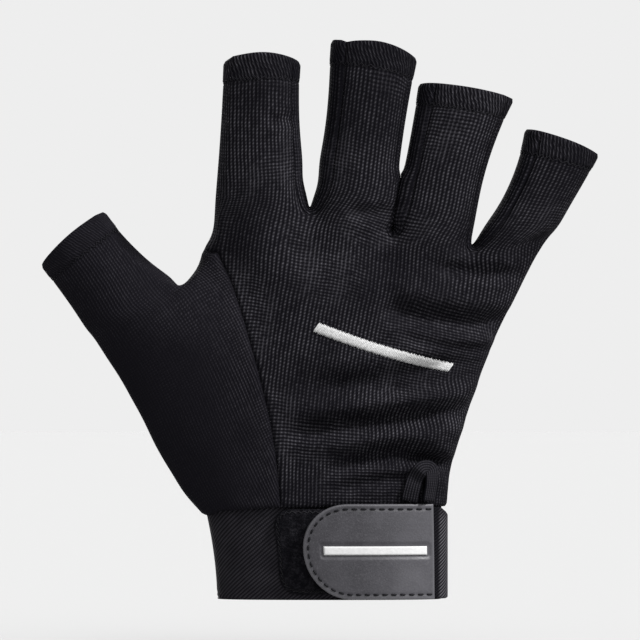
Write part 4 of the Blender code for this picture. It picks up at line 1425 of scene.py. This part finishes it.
class Finish:
    """A material made of nodes."""

    def __init__(self, name, roughness=0.7, specular=0.2, sheen=0.0):
        self.material = bpy.data.materials.new(name)
        self.material.use_nodes = True
        self.tree = self.material.node_tree
        self.shader = self.tree.nodes["Principled BSDF"]
        self.set("Roughness", roughness)
        self.set("Specular IOR Level", specular)
        self.set("Sheen Weight", sheen)
        self.set("Sheen Roughness", 0.5)

    def set(self, name, value):
        self.feed(self.shader.inputs[name], value)

    def feed(self, socket, value):
        if isinstance(value, Wire):
            self.tree.links.new(value.socket, socket)
        elif hasattr(socket.default_value, "__len__") and len(value) == 3 and len(socket.default_value) == 4:
            socket.default_value = (*value, 1)
        else:
            socket.default_value = value

    def node(self, kind, settings=None, inputs=(), output=0):
        """Adds a node and returns one output. inputs are values or wires in order, or by socket name."""
        made = self.tree.nodes.new(kind)
        for name, value in (settings or {}).items():
            setattr(made, name, value)
        named = inputs.items() if isinstance(inputs, dict) else enumerate(inputs)
        for name, value in named:
            self.feed(made.inputs[name], value)
        return Wire(self, made.outputs[output])

    def parts(self, vector):
        """The three parts of a vector."""
        node = self.node("ShaderNodeSeparateXYZ", inputs=(vector,)).socket.node
        return [Wire(self, socket) for socket in node.outputs]

    def cloth(self):
        """The place in the flat cloth, as a vector."""
        return self.node("ShaderNodeUVMap", {"uv_map": "weave"})

    def object_place(self):
        return self.node("ShaderNodeTexCoord", output="Object")

    def attribute(self, name):
        return self.node("ShaderNodeAttribute", {"attribute_name": name}, output="Fac")

    def noise(self, vector, scale, detail=2.0, roughness=0.5):
        inputs = {"Vector": vector, "Scale": scale, "Detail": detail, "Roughness": roughness}
        return self.node("ShaderNodeTexNoise", {"noise_dimensions": "3D"}, inputs)

    def cell_noise(self, x, y):
        """One random number for each whole step of x and y."""
        at = self.node("ShaderNodeCombineXYZ", inputs=(x.floor(), y.floor()))
        return self.node("ShaderNodeTexWhiteNoise", {"noise_dimensions": "3D"}, {"Vector": at})

    def mix(self, share, first, second):
        """The first colour, going over to the second."""
        return self.node("ShaderNodeMix", {"data_type": "RGBA"}, {0: share, 6: first, 7: second}, output=2)

    def bump(self, height, distance, strength=1.0):
        inputs = {"Height": height, "Distance": distance, "Strength": strength}
        return self.node("ShaderNodeBump", None, inputs)

    def tint(self, share, name):
        """Colours the shader from the darkest to the lightest shade of this name."""
        self.set("Base Color", self.mix(share, *SHADES[name]))


# The darkest and lightest linear colour of each finish
SHADES = {
    "knit": ((0.0038, 0.0035, 0.0049), (0.064, 0.062, 0.071)),
    "thumb_knit": ((0.0056, 0.0052, 0.0070), (0.042, 0.040, 0.047)),
    "side_knit": ((0.0034, 0.0032, 0.0045), (0.046, 0.044, 0.052)),
    "elastic": ((0.0026, 0.0024, 0.0034), (0.034, 0.032, 0.038)),
    "strap_elastic": ((0.0035, 0.0033, 0.0046), (0.095, 0.092, 0.102)),
    "pile": ((0.0036, 0.0035, 0.0046), (0.022, 0.021, 0.025)),
    "coated_leather": ((0.0185, 0.0175, 0.0222), (0.052, 0.0505, 0.058)),
    "tape": ((0.0030, 0.0028, 0.0040), (0.022, 0.021, 0.025)),
    "hooks": ((0.006, 0.006, 0.007), (0.022, 0.022, 0.024)),
    "black_thread": ((0.002, 0.002, 0.003), (0.009, 0.009, 0.011)),
    "hem_thread": ((0.004, 0.004, 0.005), (0.021, 0.020, 0.024)),
    "patch_thread": ((0.005, 0.005, 0.006), (0.038, 0.037, 0.042)),
    "white_thread": ((0.30, 0.30, 0.30), (0.60, 0.60, 0.60)),
    "white_coating": ((0.485, 0.485, 0.485), (0.54, 0.54, 0.54)),
}
LEATHER_GRAIN = (0.080, 0.078, 0.087)
LEATHER_WEAR = (0.110, 0.108, 0.118)


def stitches(u, v, wale, course, slant):
    """Small slanted stitches in columns: (column, row, the column's ridge, the stitch along it)."""
    column = u / wale
    beside = column.fraction() - 0.5
    row = v / course + beside * slant + column.floor() * 0.12
    return column, row, (1 - abs(beside) * 2).ease(0.22, 0.95), row.wave().ease(0.12, 0.95)


# Where the knit is drawn sideways, so that its rows show more than its columns: x, z, and how far each way
DRAWN = (
    (0.0345, 0.0860, 0.0190, 0.0125),
    (-0.0035, 0.0510, 0.0170, 0.0080),
    (0.0110, 0.0365, 0.0170, 0.0070),
    (0.0175, 0.1190, 0.0160, 0.0070),
)


def knit_finish(name, wale, course, slant, contrast):
    """A fine knit of small stitches, with slanted ribs in its hems and drawn stitches beside its seams."""
    finish = Finish(name, roughness=0.85, specular=0.015)
    at = finish.object_place()
    drift = finish.noise(at, 260.0, 2.0) - 0.5
    u, v, _ = finish.parts(finish.cloth())
    u = u + drift * (wale * 0.35)
    v = v + drift * (course * 0.6)
    column, row, ridge, stitch = stitches(u, v, wale, course, slant)
    drawn = finish.noise(at, 34.0, 1.0).ease(0.50, 0.64, 0.0, 0.6)
    x, _, z = finish.parts(at)
    for at_x, at_z, wide, high in DRAWN:
        near = (abs(x - at_x) / wide) ** 2 + (abs(z - at_z) / high) ** 2
        drawn = 1 - (1 - drawn) * (1 - near.ease(0.25, 1.30, 0.85, 0.0))
    level = (v / course).wave().ease(0.12, 0.95)
    relief = ridge * (0.28 + 0.72 * stitch) * (1 - drawn) + level * (0.35 + 0.65 * ridge) * drawn
    ragged = finish.noise(at, 420.0, 2.0) - 0.5
    _, _, hem_ridge, hem_stitch = stitches(u + v * 0.35 + ragged * 0.0008, v, wale * 0.92, course * 1.9, 1.4)
    share = finish.attribute("hem").ease(0.4, 0.6)
    relief = relief * (1 - share) + hem_ridge * (0.30 + 0.55 * hem_stitch) * share
    single = finish.cell_noise(column, row)
    patches = finish.noise(at, 130.0, 3.0, 0.6).ease(0.35, 0.68)
    # On the thumb piece, fading stitches and painted shade that darkens its colour away from its seam
    shown_and_painted_shade = finish.attribute("shown_and_painted_shade")
    edge = finish.attribute("edge").ease(0.0002, 0.0014)
    broad = finish.noise(at, 42.0, 2.0).ease(0.36, 0.62, 0.55, 1.10)
    lit = relief * (0.28 + 0.56 * single + 0.30 * patches) * broad * contrast
    finish.tint(lit * shown_and_painted_shade * (0.40 + 0.60 * edge), name)
    fuzz = finish.noise(at, 2600.0, 2.0)
    finish.set("Normal", finish.bump(relief * shown_and_painted_shade + fuzz * 0.30, 0.00042, 1.0))
    finish.set("Roughness", 0.76 + 0.16 * (1 - relief))
    return finish.material


def twill_finish(name, pitch, angle, broken=0.30, shade=None):
    """An elastic of slanted ribs. shade is where, along x, the tab's painted shadow on a strap ends; such a
    strap also gets painted shade along its top, under the hand's edge.
    """
    finish = Finish(name, roughness=0.78, specular=0.03)
    u, v, _ = finish.parts(finish.cloth())
    c, s = math.cos(math.radians(angle)), math.sin(math.radians(angle))
    at = finish.object_place()
    drift = finish.noise(at, 180.0, 2.0) - 0.5
    across = (v * c - u * s) / pitch + drift * 0.28
    along = (u * c + v * s) / (pitch * 0.75)
    rib = 1 - abs(across.fraction() - 0.5) * 2
    cords = (along + across.floor() * 0.5).wave()
    relief = (rib ** 0.9) * (1 - broken + broken * cords)
    patches = finish.noise(at, 220.0, 3.0).ease(0.35, 0.7)
    lit = relief * (0.68 + 0.32 * patches)
    if shade is not None:
        x, _, z = finish.parts(at)
        # Painted shadow of the tab on the strap, just past the tab's right edge
        painted_tab_shadow = (1 - x.ease(shade, shade + 0.0011)) * (1 - u.ease(0.040, 0.044))
        # Painted shade along the strap's top, under the hand's edge
        painted_shade_under_hand = z.ease(0.0250, 0.0285, 1.0, 0.35)
        lit = relief.ease(0.20, 0.90) * (0.86 + 0.14 * patches) * (1 - 0.96 * painted_tab_shadow) * painted_shade_under_hand
    finish.tint(lit, name)
    fuzz = finish.noise(at, 3000.0, 2.0)
    finish.set("Normal", finish.bump(relief + fuzz * 0.2, 0.00036, 0.95))
    finish.set("Roughness", 0.66 + 0.2 * (1 - relief))
    return finish.material


def pile_finish():
    """The loop patch's dark, loose pile."""
    finish = Finish("pile", roughness=0.95, specular=0.02)
    at = finish.object_place()
    tufts = finish.noise(at, 1500.0, 4.0, 0.7)
    clumps = finish.noise(at, 420.0, 3.0, 0.6)
    height = tufts * 0.7 + clumps * 0.5
    finish.tint(height.ease(0.50, 0.95), "pile")
    finish.set("Normal", finish.bump(height, 0.0009, 1.0))
    return finish.material


def leather_finish():
    """The tab's grey coating: fine grain, a soft mottle, paler worn edges, a painted highlight low on its
    right and painted light that makes it lighter towards the right.
    """
    finish = Finish("coated_leather", specular=0.45)
    at = finish.object_place()
    grain = finish.noise(at, 1700.0, 4.0, 0.65)
    pebble = finish.node("ShaderNodeTexVoronoi", {"feature": "F1"}, {"Vector": at, "Scale": 1500.0})
    mottle = finish.noise(at, 150.0, 3.0, 0.6).ease(0.35, 0.70)
    wear = finish.attribute("edge").ease(0.0, 0.0011, 1.0, 0.0)
    x, _, z = finish.parts(at)
    # spot is a painted highlight low on the tab's right, and lighter is painted light that makes the tab
    # lighter towards the right, where the key light falls
    spot = (abs(x - 0.0254) ** 2 + abs(z - 0.0062) ** 2).ease(0.0, 0.000050, 0.32, 0.0)
    lighter = x.ease(0.004, 0.032)
    colour = finish.mix(mottle * 0.34 + lighter * 0.56 + spot, *SHADES["coated_leather"])
    colour = finish.mix(grain.ease(0.45, 0.75) * 0.35, colour, LEATHER_GRAIN)
    finish.set("Base Color", finish.mix(wear * 0.45, colour, LEATHER_WEAR))
    finish.set("Roughness", 0.42 + 0.14 * grain - 0.08 * mottle)
    finish.set("Normal", finish.bump(pebble * 0.6 + grain * 0.6, 0.00010, 0.55))
    return finish.material


def thread_finish(name, scale=5200.0, roughness=0.5, specular=0.30):
    """Spun thread, lighter on its strands."""
    finish = Finish(name, roughness, specular)
    strands = finish.noise(finish.object_place(), scale, 3.0, 0.6)
    finish.tint(strands.ease(0.30, 0.75), name)
    finish.set("Normal", finish.bump(strands, 0.00012, 0.6))
    return finish.material


def tape_finish():
    """The pull loop's ribbed tape."""
    finish = Finish("tape", roughness=0.8, specular=0.03)
    across, along, _ = finish.parts(finish.cloth())
    drift = finish.noise(finish.object_place(), 400.0, 2.0) - 0.5
    ribs = (across / 0.00086 + drift * 0.3).wave()
    cross = (along / 0.0008 + drift * 0.4).wave()
    edge = abs(across).ease(0.0020, 0.0024)
    relief = ribs * (0.55 + 0.45 * cross)
    finish.tint(relief * (1 - 0.5 * edge), "tape")
    finish.set("Normal", finish.bump(relief, 0.00028, 0.9))
    return finish.material


def hook_finish():
    """The hook pad's moulded rows."""
    finish = Finish("hooks", roughness=0.6, specular=0.35)
    x, _, z = finish.parts(finish.object_place())
    dots = (x / 0.0009).wave() * (z / 0.0011).wave()
    finish.tint(dots, "hooks")
    finish.set("Normal", finish.bump(dots, 0.0004, 0.9))
    return finish.material


def dress(obj, material, slot, *nodes):
    """Gives a piece its finish, its body and the nodes that it stands for."""
    obj.data.materials.append(material)
    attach(obj, "root")
    if nodes:
        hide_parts(*nodes)
    return obj


def add_edge_attribute(obj, outline):
    """How far inside a plate's outline each of its vertices lies, for paler worn edges."""
    layer = obj.data.uv_layers["weave"].data
    values = np.zeros(len(obj.data.vertices))
    for loop, flat in zip(obj.data.loops, layer):
        values[loop.vertex_index] = plate_edge(*flat.uv, *outline)
    attribute = obj.data.attributes.new("edge", "FLOAT", "POINT")
    attribute.data.foreach_set("value", values.astype(np.float32))


# Stitches of the knit: width, height and slant, and the thumb piece's finer ones
WALE, COURSE, SLANT = 0.00122, 0.00107, -0.6
FINE_WALE, FINE_COURSE = 0.00100, 0.00092
SIDE_SLANT = -0.4
PANELS = (
    # name, tag, slot, node, flat width, flat length, area
    ("knit_back", BACK, "knit", "back_panel", 0.125, 0.150, 0.0125),
    ("knit_palm", PALM, "knit", "palm_panel", 0.125, 0.150, 0.0125),
    ("knit_thumb", THUMB_PIECE, "thumb_knit", "thumb_panel", 0.105, 0.115, 0.0092),
    ("side_strip_index", FOURCHETTES, "side_knit", "fourchette_index_middle", 0.020, 0.115, 0.0018),
    ("side_strip_middle", FOURCHETTES + 1, "side_knit", "fourchette_middle_ring", 0.020, 0.110, 0.0018),
    ("side_strip_ring", FOURCHETTES + 2, "side_knit", "fourchette_ring_little", 0.020, 0.095, 0.0015),
)


def make_glove():
    tube_roots = []
    surface, tree = hand_surface(tube_roots)
    knits = {
        "knit": knit_finish("knit", WALE, COURSE, SLANT, 1.0),
        "thumb_knit": knit_finish("thumb_knit", FINE_WALE, FINE_COURSE, SLANT, 0.9),
        "side_knit": knit_finish("side_knit", WALE, COURSE, SIDE_SLANT, 0.9),
    }
    for name, tag, slot, node, width, length, area in PANELS:
        panel = dress(make_panel(surface, name, tag), knits[slot], slot, node)
    surface.free()
    strap = twill_finish("strap_elastic", 0.00088, 36, broken=0.35, shade=0.0346)
    dress(make_cuff(), twill_finish("elastic", 0.00098, -38), "elastic", "cuff")
    dress(make_strap(), strap, "elastic", "strap_band")
    dress(make_patch(), pile_finish(), "pile", "loop_patch")
    tab = dress(make_tab(), leather_finish(), "coated_leather", "strap_tab")
    add_edge_attribute(tab, TAB_OUTLINE)
    dress(make_pull_loop(tree), tape_finish(), "tape", "pull_loop")
    dress(make_hem_threads(tree, tube_roots), thread_finish("hem_thread", specular=0.04), "knit")
    dress(make_tab_threads(), thread_finish("black_thread", specular=0.10), "tape")
    dress(make_patch_threads(), thread_finish("patch_thread", specular=0.08), "elastic")
    dress(make_back_bar(tree), thread_finish("white_thread", 2600.0, specular=0.1), "tape")
    dress(make_tab_bar(), thread_finish("white_coating", 900.0, 0.45), "coated_leather")
    hooks = bpy.data.objects["hook_pad"]
    hooks.data.materials.clear()
    hooks.data.materials.append(hook_finish())


# The glove is held up by its wrist, clear of the floor
FLOOR_Z = -0.018
FLOOR_TONE = 0.425
# What lights the glove from all round, and what the camera sees behind it
AMBIENT_TONE = 0.50
BACKDROP_TONE = 0.855
SUNS = (
    # name, towards, strength, softness in degrees
    ("key", (0.66, -0.34, 0.67), 5.2, 14),
    ("fill", (0.20, -0.80, 0.55), 1.0, 40),
    ("palm", (-0.30, 0.90, 0.30), 2.6, 40),
)
CAMERA_PLACE = (-0.00296, -3.0, 0.0892)
CAMERA_SENSOR = 36
CAMERA_LENS = 527.3


def make_floor():
    bm = bmesh.new()
    bmesh.ops.create_circle(bm, cap_ends=True, segments=96, radius=6.0)
    bmesh.ops.translate(bm, verts=bm.verts, vec=(0, 0, FLOOR_Z))
    floor = make_object("floor", bm, outward=False)
    finish = Finish("floor", roughness=1.0, specular=0.0)
    finish.set("Base Color", (FLOOR_TONE,) * 3)
    floor.data.materials.append(finish.material)


def place_object(name, data):
    made = bpy.data.objects.new(name, data)
    bpy.context.scene.collection.objects.link(made)
    return made


def add_sun(name, towards, strength, softness):
    light = bpy.data.lights.new(name, "SUN")
    light.energy = strength
    light.angle = math.radians(softness)
    place_object(name, light).rotation_euler = Vector(towards).to_track_quat("Z", "Y").to_euler()


def make_studio():
    """Soft even light with a key from the right, and the camera square to the back of the hand."""
    world = bpy.data.worlds.new("studio")
    world.use_nodes = True
    tree = world.node_tree
    ray = tree.nodes.new("ShaderNodeLightPath")
    seen = tree.nodes.new("ShaderNodeMix")
    seen.data_type = "RGBA"
    seen.inputs[6].default_value = (*(AMBIENT_TONE,) * 3, 1)
    seen.inputs[7].default_value = (*(BACKDROP_TONE,) * 3, 1)
    tree.links.new(ray.outputs["Is Camera Ray"], seen.inputs[0])
    tree.links.new(seen.outputs[2], tree.nodes["Background"].inputs["Color"])
    bpy.context.scene.world = world
    bpy.context.scene.view_settings.view_transform = "Standard"
    for name, towards, strength, softness in SUNS:
        add_sun(name, towards, strength, softness)
    camera = bpy.data.cameras.new("camera")
    camera.sensor_width = CAMERA_SENSOR
    camera.lens = CAMERA_LENS
    holder = place_object("camera", camera)
    holder.location = CAMERA_PLACE
    holder.rotation_euler = (math.pi / 2, 0, 0)
    bpy.context.scene.camera = holder


make_glove()
make_floor()
make_studio()
